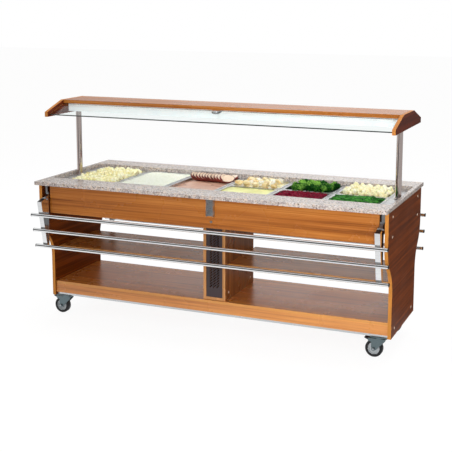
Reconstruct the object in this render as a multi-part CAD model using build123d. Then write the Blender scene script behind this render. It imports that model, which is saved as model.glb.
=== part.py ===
from build123d import *
import os
from math import atan2, cos, degrees, hypot, radians, sin, tan

# Heated buffet cart with a granite counter, six wells, a glazed light canopy and two folding tray slides.
# Frame: origin on the floor under the middle of the cart, X along the counter, -Y the guests' side, Z up.

# Counter slab
SLAB_END_MARGIN = 90.0
SLAB_WIDTH = 900.0
SLAB_TOP = 887.0
SLAB_THICKNESS = 23.0
SLAB_EDGE_RADIUS = 3.0
SLAB_FRONT_STRIP = 165.0

# Boards
PANEL_THICKNESS = 20.0
PANEL_INSET = 3.0
PANEL_SETBACK = 46.0
PANEL_FOOT_HALF_DEPTH = 283.0
PANEL_CURVE_TOP = 670.0
PANEL_CURVE_FOOT = 395.0
BOARD = 18.0
EDGE_EASE = 1.0
APRON_FACE = 374.0
APRON_BOTTOM = 682.0
APRON_END_GAP = 38.0
SHELF_TOP = 438.0
SHELF_HALF_DEPTH = 225.0
BASE_TOP = 218.0
BASE_HALF_DEPTH = 272.0
FASCIA_BOTTOM = 144.0

# Column under the wells, a little to the right of the middle
COLUMN_MIDDLE = 20.5
COLUMN_WIDTH = 141.0
COLUMN_FRONT = 262.0
COLUMN_REAR = 190.0
PLINTH_HEIGHT = 18.0
GRILLE_RECESS = 3.0
GRILLE_SHEET = 1.5
GRILLE_FLANGE = 15.0
SLOT_LENGTH = 24.0
SLOT_WIDTH = 6.0
SLOT_ANGLE = 45.0
SLOT_PITCH_X = 22.0
SLOT_PITCH_Z = 16.0
SLOT_COLUMNS = 3
SLOT_ROWS = 20
SLOT_TOP_MARGIN = 83.0
REAR_COVER_SHEET = 2.0

# Steel frame under the base shelf
FRAME_RECESS = 10.0
FRAME_TUBE = 30.0
FRAME_END = 100.0
FRAME_MIDDLE = 60.0

# Wells and food pans
WELL_COUNT = 6
WELL_STRIP = 10.0
PAN_LENGTH = 530.0
PAN_WIDTH = 325.0
PAN_DEPTH = 65.0
PAN_SHEET = 1.2
PAN_FLANGE = 12.0
PAN_TAPER = 7.0
PAN_CORNER = 28.0
HALF_PAN_GAP = 0.8
FULL_PANS = 3
DECK_SHEET = 2.0
DECK_MARGIN = 45.0
DECK_COLLAR = 9.0
WELL_RIM_OVERLAP = 8.0
WELL_CORNER = 32.0
TANK_SHEET = 2.0
TANK_DEPTH = 172.0
TANK_MARGIN_X = 18.0
TANK_MARGIN_Y = 12.0
SEAT_GAP = 0.3

# Heating element on the tank floor
HEATER_DIAMETER = 9.0
HEATER_HEIGHT = 14.0
HEATER_REACH = 930.0
HEATER_OUTER_RUN = 105.0
HEATER_INNER_RUN = 38.0
HEATER_BEND = 28.0
HEATER_LEG_BEND = 11.0
HEATER_LEG = 34.0
HEATER_LEG_SPACING = 41.0
HEATER_SUPPORT = 12.0
HEATER_SUPPORT_PITCH = 620.0

# Drain with a quarter-turn valve behind the column
DRAIN_PIPE_DIAMETER = 26.0
DRAIN_PIPE_BORE = 20.0
DRAIN_SETBACK = 60.0
DRAIN_HEIGHT = 300.0
DRAIN_BEND = 30.0
DRAIN_REACH = 62.0
VALVE_DIAMETER = 38.0
VALVE_LENGTH = 34.0
VALVE_STEM_DIAMETER = 10.0
VALVE_STEM_HEIGHT = 12.0
LEVER_LENGTH = 78.0
LEVER_WIDTH = 16.0
LEVER_THICKNESS = 4.0
LEVER_HUB_DIAMETER = 20.0

# Controls on the rear cover
KNOB_HEIGHT_UP = 580.0
KNOB_DIAMETER = 44.0
KNOB_DEPTH = 22.0
KNOB_SHAFT = 8.0
KNOB_GRIPS = 8
SWITCH_UPPER = 500.0
SWITCH_LOWER = 440.0
SWITCH_HEIGHT = 30.0
SWITCH_WIDTH = 22.0
SWITCH_WALL = 1.6
SWITCH_DEPTH = 18.0
ROCKER_TILT = 8.0
ROCKER_PIVOT_DEPTH = 4.0
ROCKER_PIN = 3.0

# Posts
POST_DIAMETER = 35.0
POST_WALL = 2.0
POST_INSET = 49.0
POST_FLANGE_DIAMETER = 50.0
POST_FLANGE_HEIGHT = 6.0

# Canopy
CANOPY_END_THICKNESS = 20.0
CANOPY_RISE = 471.0
CANOPY_HALF_DEPTH = 314.0
CANOPY_ROOF_HALF_DEPTH = 128.0
CANOPY_NOSE_DROP = 60.0
CANOPY_NOSE_HEIGHT = 30.0
ROOF_THICKNESS = 22.0
GLASS_THICKNESS = 6.0
GLASS_DROP = 22.0
GLASS_FRONT_SETBACK = 22.0
GLASS_ROOF_GAP = 4.0
GLASS_GROOVE_DEPTH = 5.0
GLASS_CLEARANCE = 0.2
LIGHT_HALF_WIDTH = 70.0
LIGHT_HEIGHT = 58.0
LIGHT_SHEET = 2.0
LIGHT_LIP = 10.0
LIGHT_END = 60.0
DIFFUSER_THICKNESS = 3.0
DIFFUSER_CLEARANCE = 1.0
CLIP_OFFSET = -19.0
CLIP_RADIUS = 31.0
CLIP_WALL = 6.0
CLIP_TONGUE = 24.0

# Folding tray slides, one on each long side
TRAY_TUBE_DIAMETER = 22.0
TRAY_TUBE_WALL = 1.5
TRAY_END_REACH = 18.0
TRAY_PLUG = 4.0
TRAY_PLUG_DEPTH = 16.0
TRAY_LEAN = 11.0
TRAY_TUBE_DROPS = (78.0, 177.0, 282.0)
TRAY_FACE_OFFSET = 69.0
ARM_PANEL_GAP = 8.0
ARM_WIDTH = 30.0
ARM_SHEET = 2.0
ARM_PIVOT_OUT = 30.0
ARM_PIVOT_DROP = 91.0
ARM_EYE_RADIUS = 13.0
ARM_TOP_RISE = 6.0
ARM_FOOT_DEPTH = 20.0
ARM_FOOT_LENGTH = 16.0
ARM_CAP_LENGTH = 42.0
ARM_CAP_HEIGHT = 8.0
HINGE_PIN = 10.0
HINGE_LUG_WIDTH = 18.0
HINGE_LUG_RADIUS = 11.0
HINGE_STRIP = 8.0
HINGE_STRIP_WIDTH = 18.0
HINGE_STRIP_SHIFT = 8.0
HINGE_FOOT = 38.0
HINGE_FOOT_THICKNESS = 4.0

# Support brackets on the aprons
CATCH_MIDDLE = 51.0
CATCH_WIDTH = 44.0
CATCH_DROP = 14.0
CATCH_HEIGHT = 97.0
CATCH_DEPTH = 26.0
CATCH_SHEET = 2.5
CATCH_SLOT_HEIGHT = 22.0
CATCH_SLOT_DEPTH = 10.0
CATCH_SLOT_PITCH = 52.0
CATCH_BOLT_DROP = 33.0

# Castors
WHEEL_DIAMETER = 100.0
WHEEL_WIDTH = 32.0
WHEEL_SHOULDER = 5.0
RIM_DIAMETER = 68.0
RIM_WIDTH = 28.0
RIM_DISH = 5.0
RIM_LIP = 4.0
HUB_DIAMETER = 26.0
HUB_WIDTH = 36.0
AXLE_DIAMETER = 12.0
AXLE_HEAD_DIAMETER = 18.0
AXLE_HEAD_HEIGHT = 3.0
CASTOR_TRAIL = 35.0
CASTOR_HEIGHT = 128.0
CASTOR_INSET = 74.0
CASTOR_EDGE = 46.0
CASTOR_SPREAD = BASE_HALF_DEPTH - CASTOR_EDGE
PLATE_LENGTH = 105.0
PLATE_WIDTH = 85.0
PLATE_THICKNESS = 5.0
FORK_SHEET = 3.0
FORK_GAP_OVER_WHEEL = 6.0
FORK_CROWN_SHEET = 4.0
FORK_FRONT = 31.0
FORK_BACK = 52.0
FORK_EYE_RADIUS = 13.0
RACE_DIAMETER = 58.0
KINGPIN_DIAMETER = 12.0
PEDAL_PIVOT_BACK = 62.0
PEDAL_PIVOT_HEIGHT = 101.0
PEDAL_BOSS_RADIUS = 5.0
PEDAL_PIN = 5.0
PEDAL_TIP = 89.0
PEDAL_TIP_HEIGHT = 112.0
PEDAL_THICKNESS = 5.0
PEDAL_EAR = 6.0
PEDAL_SHOE_RADIUS = 3.0
PEDAL_SHOE_REACH = 4.3
PEDAL_SHOE_LEAD = 40.0

# Screw covers on the end panels and on the column
COVER_DIAMETER = 15.0
COVER_HEIGHT = 2.5
COVER_STEM = 6.0
COVER_STEM_DEPTH = 10.0
COVER_UPPER_DROP = 37.0
COVER_MIDDLE = 715.0
COVER_LOWER = 174.0
COVER_UPPER_SPREAD = 310.0
COVER_LOWER_SPREAD = 208.0
COLUMN_COVER_UP = 44.0
COLUMN_COVER_EDGE = 52.0

# Fits
RUNNING_FIT = 0.08
SIDE_PLAY = 0.3

# Sizes that follow
SLAB_BOTTOM = SLAB_TOP - SLAB_THICKNESS
WELL_PITCH = PAN_WIDTH + WELL_STRIP
HALF_LENGTH = WELL_COUNT * WELL_PITCH / 2 + SLAB_END_MARGIN
HALF_WIDTH = SLAB_WIDTH / 2
PANEL_OUTER = HALF_LENGTH - PANEL_INSET
PANEL_INNER = PANEL_OUTER - PANEL_THICKNESS
PANEL_HALF_DEPTH = HALF_WIDTH - PANEL_SETBACK
OPENING_HALF_WIDTH = HALF_WIDTH - SLAB_FRONT_STRIP
APRON_HALF_LENGTH = PANEL_INNER - APRON_END_GAP
COLUMN_LEFT = COLUMN_MIDDLE - COLUMN_WIDTH / 2
COLUMN_RIGHT = COLUMN_MIDDLE + COLUMN_WIDTH / 2
CHANNEL_LEFT = COLUMN_LEFT + BOARD
CHANNEL_RIGHT = COLUMN_RIGHT - BOARD
PLINTH_TOP = BASE_TOP + PLINTH_HEIGHT
DECK_TOP = SLAB_BOTTOM
DECK_BOTTOM = DECK_TOP - DECK_SHEET
TANK_BOTTOM = DECK_BOTTOM - TANK_DEPTH
TANK_FLOOR = TANK_BOTTOM + TANK_SHEET
WELL_LENGTH = PAN_LENGTH - 2 * WELL_RIM_OVERLAP
WELL_WIDTH = PAN_WIDTH - 2 * WELL_RIM_OVERLAP
WELL_CENTRES = [(i - (WELL_COUNT - 1) / 2) * WELL_PITCH for i in range(WELL_COUNT)]
TANK_HALF_LENGTH = WELL_CENTRES[-1] + WELL_WIDTH / 2 + TANK_MARGIN_X
TANK_HALF_WIDTH = WELL_LENGTH / 2 + TANK_MARGIN_Y
POST_X = HALF_LENGTH - POST_INSET
CANOPY_INNER = HALF_LENGTH - CANOPY_END_THICKNESS
CANOPY_TOP = SLAB_TOP + CANOPY_RISE
CANOPY_NOSE_TOP = CANOPY_TOP - CANOPY_NOSE_DROP
CANOPY_NOSE_BOTTOM = CANOPY_NOSE_TOP - CANOPY_NOSE_HEIGHT
ROOF_BOTTOM = CANOPY_TOP - ROOF_THICKNESS
LIGHT_BOTTOM = ROOF_BOTTOM - LIGHT_HEIGHT
CASTOR_X = HALF_LENGTH - CASTOR_INSET
FRAME_TOP = FASCIA_BOTTOM
FRAME_BOTTOM = CASTOR_HEIGHT
WHEEL_CENTRE = WHEEL_DIAMETER / 2
LUG_INNER_HALF = ARM_WIDTH / 2 - ARM_SHEET
ARM_MIDDLE = PANEL_INNER - ARM_PANEL_GAP - ARM_WIDTH / 2
ARM_PIVOT_REACH = APRON_FACE + ARM_PIVOT_OUT
ARM_PIVOT_HEIGHT = SLAB_BOTTOM - ARM_PIVOT_DROP
TRAY_HALF_LENGTH = PANEL_OUTER + TRAY_END_REACH
CATCH_TOP = SLAB_BOTTOM - CATCH_DROP
COVER_UPPER = SLAB_BOTTOM - COVER_UPPER_DROP
FORK_INNER_HALF = HUB_WIDTH / 2 + SIDE_PLAY

parts = {}


def block(x, y, z):
    """A box between two limits on each axis."""
    size = Box(x[1] - x[0], y[1] - y[0], z[1] - z[0])
    return Pos((x[0] + x[1]) / 2, (y[0] + y[1]) / 2, (z[0] + z[1]) / 2) * size


def rod_x(diameter, x, y, z):
    """A round bar along X between two limits."""
    bar = Cylinder(diameter / 2, x[1] - x[0])
    return Pos((x[0] + x[1]) / 2, y, z) * Rot(0, 90, 0) * bar


def rod_y(diameter, x, y, z):
    """A round bar along Y between two limits."""
    bar = Cylinder(diameter / 2, y[1] - y[0])
    return Pos(x, (y[0] + y[1]) / 2, z) * Rot(90, 0, 0) * bar


def rod_z(diameter, x, y, z):
    """A round bar along Z between two limits."""
    bar = Cylinder(diameter / 2, z[1] - z[0])
    return Pos(x, y, (z[0] + z[1]) / 2) * bar


def side_profile(face, x):
    """A face drawn in Y and Z, extruded between two limits on X."""
    return Pos(x[0], 0, 0) * extrude(Plane.YZ * face, amount=x[1] - x[0])


def front_profile(face, y):
    """A face drawn in X and Z, extruded between two limits on Y."""
    return Pos(0, y[1], 0) * extrude(Plane.XZ * face, amount=y[1] - y[0])


def other_side(shape):
    """The same piece on the staff side of the cart."""
    return mirror(shape, about=Plane.XZ)


def eased(shape, radius, axis=Axis.X):
    """A board with its long edges broken."""
    return fillet(shape.edges().filter_by(axis), radius)


# End panels, drawn in from the counter to the foot by two equal arcs
def end_panel(sign):
    foot = PANEL_FOOT_HALF_DEPTH
    top = PANEL_HALF_DEPTH
    middle = ((foot + top) / 2, (PANEL_CURVE_FOOT + PANEL_CURVE_TOP) / 2)
    edge = [Line((0, CASTOR_HEIGHT), (foot, CASTOR_HEIGHT))]
    edge.append(Line((foot, CASTOR_HEIGHT), (foot, PANEL_CURVE_FOOT)))
    edge.append(TangentArc((foot, PANEL_CURVE_FOOT), middle, tangent=(0, 1)))
    edge.append(TangentArc((top, PANEL_CURVE_TOP), middle, tangent=(0, -1)))
    edge.append(Line((top, PANEL_CURVE_TOP), (top, SLAB_BOTTOM)))
    edge.append(Line((top, SLAB_BOTTOM), (0, SLAB_BOTTOM)))
    edge.append(Line((0, SLAB_BOTTOM), (0, CASTOR_HEIGHT)))
    half = make_face(edge)
    face = half + mirror(half, about=Plane.YZ)
    limits = sorted((sign * PANEL_INNER, sign * PANEL_OUTER))
    panel = side_profile(face, limits)
    outer = sign * PANEL_OUTER
    stem = sorted((outer, outer - sign * COVER_STEM_DEPTH))
    for y, z in cover_places():
        panel -= rod_x(COVER_STEM, stem, y, z)
    return panel


def cover_places():
    """Where the six screws of an end panel sit, in Y and Z."""
    places = []
    for side in (-1, 1):
        places.append((side * COVER_UPPER_SPREAD, COVER_UPPER))
        places.append((side * COVER_UPPER_SPREAD, COVER_MIDDLE))
        places.append((side * COVER_LOWER_SPREAD, COVER_LOWER))
    return places


def column_cover_places():
    """Where the screws at the foot of the column sit, in Y and Z."""
    height = BASE_TOP + COLUMN_COVER_UP
    return [(-COLUMN_FRONT + COLUMN_COVER_EDGE, height), (COLUMN_REAR - COLUMN_COVER_EDGE, height)]


def screw_cover(x, direction, y, z):
    """A domed plastic cover with a short stem."""
    dome_radius = ((COVER_DIAMETER / 2) ** 2 + COVER_HEIGHT**2) / (2 * COVER_HEIGHT)
    dome = Pos(0, 0, COVER_HEIGHT - dome_radius) * Sphere(dome_radius)
    cap = dome & Pos(0, 0, COVER_HEIGHT / 2) * Cylinder(COVER_DIAMETER / 2, COVER_HEIGHT)
    cap += Pos(0, 0, -COVER_STEM_DEPTH / 2) * Cylinder(COVER_STEM / 2, COVER_STEM_DEPTH)
    return Pos(x, y, z) * Rot(0, 90 * direction, 0) * cap


def screw_covers():
    covers = []
    for sign in (-1, 1):
        for y, z in cover_places():
            covers.append(screw_cover(sign * PANEL_OUTER, sign, y, z))
    for y, z in column_cover_places():
        covers.append(screw_cover(COLUMN_LEFT, -1, y, z))
        covers.append(screw_cover(COLUMN_RIGHT, 1, y, z))
    return Compound(children=covers)


# Counter slab with the long opening over the wells
def counter_slab():
    slab = block((-HALF_LENGTH, HALF_LENGTH), (-HALF_WIDTH, HALF_WIDTH), (SLAB_BOTTOM, SLAB_TOP))
    rims = slab.edges().group_by(Axis.Z)
    slab = fillet(rims[0] + rims[-1], SLAB_EDGE_RADIUS)
    opening = block(
        (-PANEL_INNER, PANEL_INNER),
        (-OPENING_HALF_WIDTH, OPENING_HALF_WIDTH),
        (SLAB_BOTTOM, SLAB_TOP),
    )
    return slab - opening


# Boards between the end panels
def apron():
    board = block(
        (-APRON_HALF_LENGTH, APRON_HALF_LENGTH),
        (-APRON_FACE, -APRON_FACE + BOARD),
        (APRON_BOTTOM, SLAB_BOTTOM),
    )
    return eased(board, EDGE_EASE)


def shelf(x):
    board = block(x, (-SHELF_HALF_DEPTH, SHELF_HALF_DEPTH), (SHELF_TOP - BOARD, SHELF_TOP))
    return eased(board, EDGE_EASE)


def base_shelf():
    board = block(
        (-PANEL_INNER, PANEL_INNER), (-BASE_HALF_DEPTH, BASE_HALF_DEPTH), (BASE_TOP - BOARD, BASE_TOP)
    )
    return eased(board, EDGE_EASE)


def base_fascias():
    front = block(
        (-PANEL_INNER, PANEL_INNER),
        (-BASE_HALF_DEPTH, -BASE_HALF_DEPTH + BOARD),
        (FASCIA_BOTTOM, BASE_TOP - BOARD),
    )
    front = eased(front, EDGE_EASE)
    return Compound(children=[front, other_side(front)])


def base_frame():
    """A flat steel ring with wide ends over the castors and one cross member."""
    outer = BASE_HALF_DEPTH - FRAME_RECESS
    inner = outer - FRAME_TUBE
    frame = block((-PANEL_INNER, PANEL_INNER), (-outer, outer), (FRAME_BOTTOM, FRAME_TOP))
    cross = FRAME_MIDDLE / 2
    for side in (-1, 1):
        gap = sorted((side * (PANEL_INNER - FRAME_END), COLUMN_MIDDLE + side * cross))
        frame -= block(gap, (-inner, inner), (FRAME_BOTTOM, FRAME_TOP))
        for end in (-1, 1):
            hole_y = end * CASTOR_SPREAD
            pin = KINGPIN_DIAMETER + 2 * SIDE_PLAY
            frame -= rod_z(pin, side * CASTOR_X, hole_y, (FRAME_BOTTOM, FRAME_TOP))
    return frame


# Column: two boards on a plinth, a slotted front sheet and a rear cover
def column_boards():
    depth = (-COLUMN_FRONT, COLUMN_REAR)
    left = block((COLUMN_LEFT, CHANNEL_LEFT), depth, (PLINTH_TOP, TANK_BOTTOM))
    right = block((CHANNEL_RIGHT, COLUMN_RIGHT), depth, (PLINTH_TOP, TANK_BOTTOM))
    plinth = block((COLUMN_LEFT, COLUMN_RIGHT), depth, (BASE_TOP, PLINTH_TOP))
    for y, z in column_cover_places():
        left -= rod_x(COVER_STEM, (COLUMN_LEFT, COLUMN_LEFT + COVER_STEM_DEPTH), y, z)
        right -= rod_x(COVER_STEM, (COLUMN_RIGHT - COVER_STEM_DEPTH, COLUMN_RIGHT), y, z)
    return Compound(children=[left, right, plinth])


def column_grille():
    """A folded sheet with three columns of slanted slots."""
    face = -COLUMN_FRONT + GRILLE_RECESS
    sheet = block((CHANNEL_LEFT, CHANNEL_RIGHT), (face, face + GRILLE_FLANGE), (PLINTH_TOP, TANK_BOTTOM))
    hollow = block(
        (CHANNEL_LEFT + GRILLE_SHEET, CHANNEL_RIGHT - GRILLE_SHEET),
        (face + GRILLE_SHEET, face + GRILLE_FLANGE),
        (PLINTH_TOP, TANK_BOTTOM),
    )
    sheet -= hollow
    field = TANK_BOTTOM - SLOT_TOP_MARGIN - (SLOT_ROWS - 1) * SLOT_PITCH_Z / 2
    slots = Sketch()
    for place in GridLocations(SLOT_PITCH_X, SLOT_PITCH_Z, SLOT_COLUMNS, SLOT_ROWS):
        slot = Rot(0, 0, SLOT_ANGLE) * Rectangle(SLOT_LENGTH, SLOT_WIDTH)
        slots += Pos(COLUMN_MIDDLE, field) * place * slot
    return sheet - front_profile(slots, (face, face + GRILLE_SHEET))


def column_rear_cover():
    """A plain sheet with two switch wells, the knob's bearing and the hole for the drain."""
    rear = COLUMN_REAR
    cover = block((CHANNEL_LEFT, CHANNEL_RIGHT), (rear - REAR_COVER_SHEET, rear), (PLINTH_TOP, TANK_BOTTOM))
    bearing = rod_y(2 * KNOB_SHAFT, COLUMN_MIDDLE, (rear - 2 * KNOB_SHAFT, rear), KNOB_HEIGHT_UP)
    cover += bearing
    bore = KNOB_SHAFT + 2 * RUNNING_FIT
    cover -= rod_y(bore, COLUMN_MIDDLE, (rear - 2 * KNOB_SHAFT, rear), KNOB_HEIGHT_UP)
    cover -= rod_y(DRAIN_PIPE_DIAMETER, COLUMN_MIDDLE, (rear - REAR_COVER_SHEET, rear), DRAIN_HEIGHT)
    for height in (SWITCH_UPPER, SWITCH_LOWER):
        cover = cover_with_switch(cover, height)
    return cover


def cover_with_switch(cover, height):
    """The cover with one switch housing let into it, with sockets for the rocker's pins."""
    rear = COLUMN_REAR
    half_w = SWITCH_WIDTH / 2
    half_h = SWITCH_HEIGHT / 2
    across = (COLUMN_MIDDLE - half_w, COLUMN_MIDDLE + half_w)
    up = (height - half_h, height + half_h)
    cover += block(across, (rear - SWITCH_DEPTH, rear + SWITCH_WALL), up)
    inner_across = (across[0] + SWITCH_WALL, across[1] - SWITCH_WALL)
    inner_up = (up[0] + SWITCH_WALL, up[1] - SWITCH_WALL)
    cover -= block(inner_across, (rear - SWITCH_DEPTH + SWITCH_WALL, rear + SWITCH_WALL), inner_up)
    socket = ROCKER_PIN + 2 * RUNNING_FIT
    pivot = rear + SWITCH_WALL - ROCKER_PIVOT_DEPTH
    return cover - rod_x(socket, across, pivot, height)


def rocker(height):
    """A rocker whose ends follow arcs about its pins and whose front is a shallow vee, tipped to one end."""
    pivot = COLUMN_REAR + SWITCH_WALL - ROCKER_PIVOT_DEPTH
    half_w = SWITCH_WIDTH / 2 - SWITCH_WALL - SIDE_PLAY
    reach = SWITCH_HEIGHT / 2 - SWITCH_WALL - SIDE_PLAY
    dip = reach * tan(radians(ROCKER_TILT))
    proud = ROCKER_PIVOT_DEPTH + dip
    outline = Polyline(
        (-ROCKER_PIN, -reach),
        (proud + dip, -reach),
        (proud, 0),
        (proud + dip, reach),
        (-ROCKER_PIN, reach),
        close=True,
    )
    face = make_face(outline) & Circle(reach)
    face = Pos(pivot, height) * Rot(0, 0, ROCKER_TILT) * face
    body = side_profile(face, (COLUMN_MIDDLE - half_w, COLUMN_MIDDLE + half_w))
    pin = (COLUMN_MIDDLE - half_w - SWITCH_WALL, COLUMN_MIDDLE + half_w + SWITCH_WALL)
    return body + rod_x(ROCKER_PIN, pin, pivot, height)


def thermostat_knob():
    """A fluted knob on its shaft, with a raised pointer."""
    rear = COLUMN_REAR + SIDE_PLAY
    knob = Cylinder(KNOB_DIAMETER / 2, KNOB_DEPTH)
    knob = fillet(knob.edges().group_by(Axis.Z)[-1], KNOB_DEPTH / 8)
    flute = Cylinder(KNOB_DIAMETER / 10, KNOB_DEPTH)
    for place in PolarLocations(KNOB_DIAMETER * 0.54, KNOB_GRIPS):
        knob -= place * flute
    pointer = Box(KNOB_DIAMETER * 0.08, KNOB_DIAMETER * 0.4, KNOB_DEPTH / 10)
    knob += Pos(0, KNOB_DIAMETER * 0.2, KNOB_DEPTH / 2) * pointer
    knob = Pos(COLUMN_MIDDLE, rear + KNOB_DEPTH / 2, KNOB_HEIGHT_UP) * Rot(-90, 0, 0) * knob
    along = (COLUMN_REAR - 2 * KNOB_SHAFT, rear + KNOB_DEPTH / 2)
    shaft = rod_y(KNOB_SHAFT, COLUMN_MIDDLE, along, KNOB_HEIGHT_UP)
    return knob + shaft


# Drain from the tank floor, through the column and out behind it
def drain_place():
    """The drain hole in the tank floor, in X and Y."""
    return COLUMN_MIDDLE, COLUMN_REAR - DRAIN_SETBACK


def drain_valve():
    x, y = drain_place()
    outlet = COLUMN_REAR + DRAIN_REACH
    path = FilletPolyline(
        (x, y, TANK_FLOOR), (x, y, DRAIN_HEIGHT), (x, outlet, DRAIN_HEIGHT), radius=DRAIN_BEND
    )
    pipe = sweep(Plane((x, y, TANK_FLOOR), z_dir=(0, 0, -1)) * Circle(DRAIN_PIPE_DIAMETER / 2), path=path)
    body_start = valve_middle() - VALVE_LENGTH / 2
    pipe += rod_y(VALVE_DIAMETER, x, (body_start, body_start + VALVE_LENGTH), DRAIN_HEIGHT)
    stem_base = DRAIN_HEIGHT + VALVE_DIAMETER / 2
    pipe += rod_z(VALVE_STEM_DIAMETER + 2 * SWITCH_WALL, x, valve_middle(), (DRAIN_HEIGHT, stem_base))
    pipe += rod_z(VALVE_STEM_DIAMETER, x, valve_middle(), (stem_base, stem_base + VALVE_STEM_HEIGHT))
    bore = sweep(Plane((x, y, TANK_FLOOR), z_dir=(0, 0, -1)) * Circle(DRAIN_PIPE_BORE / 2), path=path)
    return pipe - bore


def valve_middle():
    """Where the valve's stem stands, along Y."""
    return COLUMN_REAR + VALVE_LENGTH / 2 + SIDE_PLAY


def drain_lever():
    """A flat lever with a hub on the valve's stem, across the pipe while the valve is shut."""
    x, _ = drain_place()
    y = valve_middle()
    base = DRAIN_HEIGHT + VALVE_DIAMETER / 2 + SIDE_PLAY
    hub = rod_z(LEVER_HUB_DIAMETER, x, y, (base, base + LEVER_THICKNESS * 2))
    arm = Pos(x + LEVER_LENGTH / 2, y) * SlotOverall(LEVER_LENGTH, LEVER_WIDTH)
    lever = hub + extrude(Plane.XY.offset(base) * arm, amount=LEVER_THICKNESS)
    bore = VALVE_STEM_DIAMETER + 2 * RUNNING_FIT
    return lever - rod_z(bore, x, y, (base, base + LEVER_THICKNESS * 2))


# Deck with a collared opening for each well, and the tank that hangs under it
def rounded_prism(x, y, length_x, length_y, radius, z):
    face = Pos(x, y) * RectangleRounded(length_x, length_y, radius)
    return extrude(Plane.XY.offset(z[0]) * face, amount=z[1] - z[0])


def well_deck():
    half = OPENING_HALF_WIDTH + DECK_MARGIN
    deck = block((-PANEL_INNER, PANEL_INNER), (-half, half), (DECK_BOTTOM, DECK_TOP))
    for x in WELL_CENTRES:
        collar = (DECK_BOTTOM - DECK_COLLAR, DECK_BOTTOM)
        deck += rounded_prism(
            x, 0, WELL_WIDTH + 2 * DECK_SHEET, WELL_LENGTH + 2 * DECK_SHEET, WELL_CORNER + DECK_SHEET, collar
        )
    through = (DECK_BOTTOM - DECK_COLLAR, DECK_TOP)
    for x in WELL_CENTRES:
        deck -= rounded_prism(x, 0, WELL_WIDTH, WELL_LENGTH, WELL_CORNER, through)
    return deck


def well_tank():
    """An open tank welded from a floor, two long walls and two end walls.

    The floor has a drain hole and two holes for the heating element.
    """
    length = TANK_HALF_LENGTH
    width = TANK_HALF_WIDTH
    floor = block((-length, length), (-width, width), (TANK_BOTTOM, TANK_FLOOR))
    x, y = drain_place()
    floor -= rod_z(DRAIN_PIPE_DIAMETER, x, y, (TANK_BOTTOM, TANK_FLOOR))
    for place in heater_legs():
        floor -= rod_z(HEATER_DIAMETER, place[0], place[1], (TANK_BOTTOM, TANK_FLOOR))
    long_wall = block((-length, length), (-width, -width + TANK_SHEET), (TANK_FLOOR, DECK_BOTTOM))
    end_wall = block(
        (length - TANK_SHEET, length), (-width + TANK_SHEET, width - TANK_SHEET), (TANK_FLOOR, DECK_BOTTOM)
    )
    walls = [long_wall, other_side(long_wall), end_wall, mirror(end_wall, about=Plane.YZ)]
    return Compound(children=[floor] + walls)


def heater_legs():
    """Where the two ends of the element pass through the tank floor."""
    left = COLUMN_MIDDLE - HEATER_LEG_SPACING / 2
    right = COLUMN_MIDDLE + HEATER_LEG_SPACING / 2
    return [(left, -HEATER_INNER_RUN), (right, HEATER_INNER_RUN)]


def heating_element():
    """One bent tubular element that runs the whole tank, on three supports."""
    height = TANK_FLOOR + HEATER_HEIGHT
    low = height - HEATER_LEG
    start, end = heater_legs()
    reach = HEATER_REACH
    outer = HEATER_OUTER_RUN
    points = [(start[0], start[1], low), (start[0], start[1], height)]
    points.append((-reach, start[1], height))
    points.append((-reach, -outer, height))
    points.append((reach, -outer, height))
    points.append((reach, outer, height))
    points.append((-reach, outer, height))
    points.append((-reach, end[1], height))
    points.append((end[0], end[1], height))
    points.append((end[0], end[1], low))
    radii = [HEATER_LEG_BEND] + [HEATER_BEND] * (len(points) - 4) + [HEATER_LEG_BEND]
    path = FilletPolyline(points, radius=radii)
    section = Plane(points[0], z_dir=(0, 0, 1)) * Circle(HEATER_DIAMETER / 2)
    element = sweep(section, path=path)
    wide = outer + HEATER_DIAMETER
    for i in (-1, 0, 1):
        x = i * HEATER_SUPPORT_PITCH - HEATER_SUPPORT_PITCH / 4
        foot = (x - HEATER_SUPPORT / 2, x + HEATER_SUPPORT / 2)
        element += block(foot, (-wide, wide), (TANK_FLOOR, height - HEATER_DIAMETER / 4))
    return element


# Food pans: drawn, tapered bodies with a flat rim that rests on the deck
def tapered_well(size_x, size_y, corner, z):
    """A block with rounded corners that gets smaller towards its floor."""
    foot_x = size_x - 2 * PAN_TAPER
    foot_y = size_y - 2 * PAN_TAPER
    foot = Plane.XY.offset(z[0]) * RectangleRounded(foot_x, foot_y, corner - PAN_TAPER / 2)
    mouth = Plane.XY.offset(z[1]) * RectangleRounded(size_x, size_y, corner)
    return loft([foot, mouth])


def food_pan(x, y, length_y):
    rim_z = DECK_TOP + SEAT_GAP
    body_x = PAN_WIDTH - 2 * PAN_FLANGE
    body_y = length_y - 2 * PAN_FLANGE
    top = rim_z + PAN_SHEET
    bottom = top - PAN_DEPTH
    outside = tapered_well(body_x, body_y, PAN_CORNER, (bottom, top))
    outside = fillet(outside.edges().group_by(Axis.Z)[0], PAN_TAPER)
    rim = rounded_prism(0, 0, PAN_WIDTH, length_y, PAN_CORNER, (rim_z, top))
    thin = PAN_SHEET
    limits = (bottom + thin, top + thin)
    inside = tapered_well(body_x - 2 * thin, body_y - 2 * thin, PAN_CORNER - thin, limits)
    inside = fillet(inside.edges().group_by(Axis.Z)[0], PAN_TAPER - thin)
    return Pos(x, y, 0) * (outside + rim - inside)


# Posts: tubes with a welded foot ring, up to the light channel
def post(sign):
    x = sign * POST_X
    tube = rod_z(POST_DIAMETER, x, 0, (DECK_TOP, LIGHT_BOTTOM))
    ring = rod_z(POST_FLANGE_DIAMETER, x, 0, (DECK_TOP, DECK_TOP + POST_FLANGE_HEIGHT))
    ring = fillet(ring.edges().group_by(Axis.Z)[-1], POST_FLANGE_HEIGHT / 3)
    bore = rod_z(POST_DIAMETER - 2 * POST_WALL, x, 0, (DECK_TOP, LIGHT_BOTTOM))
    return tube + ring - bore


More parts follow.
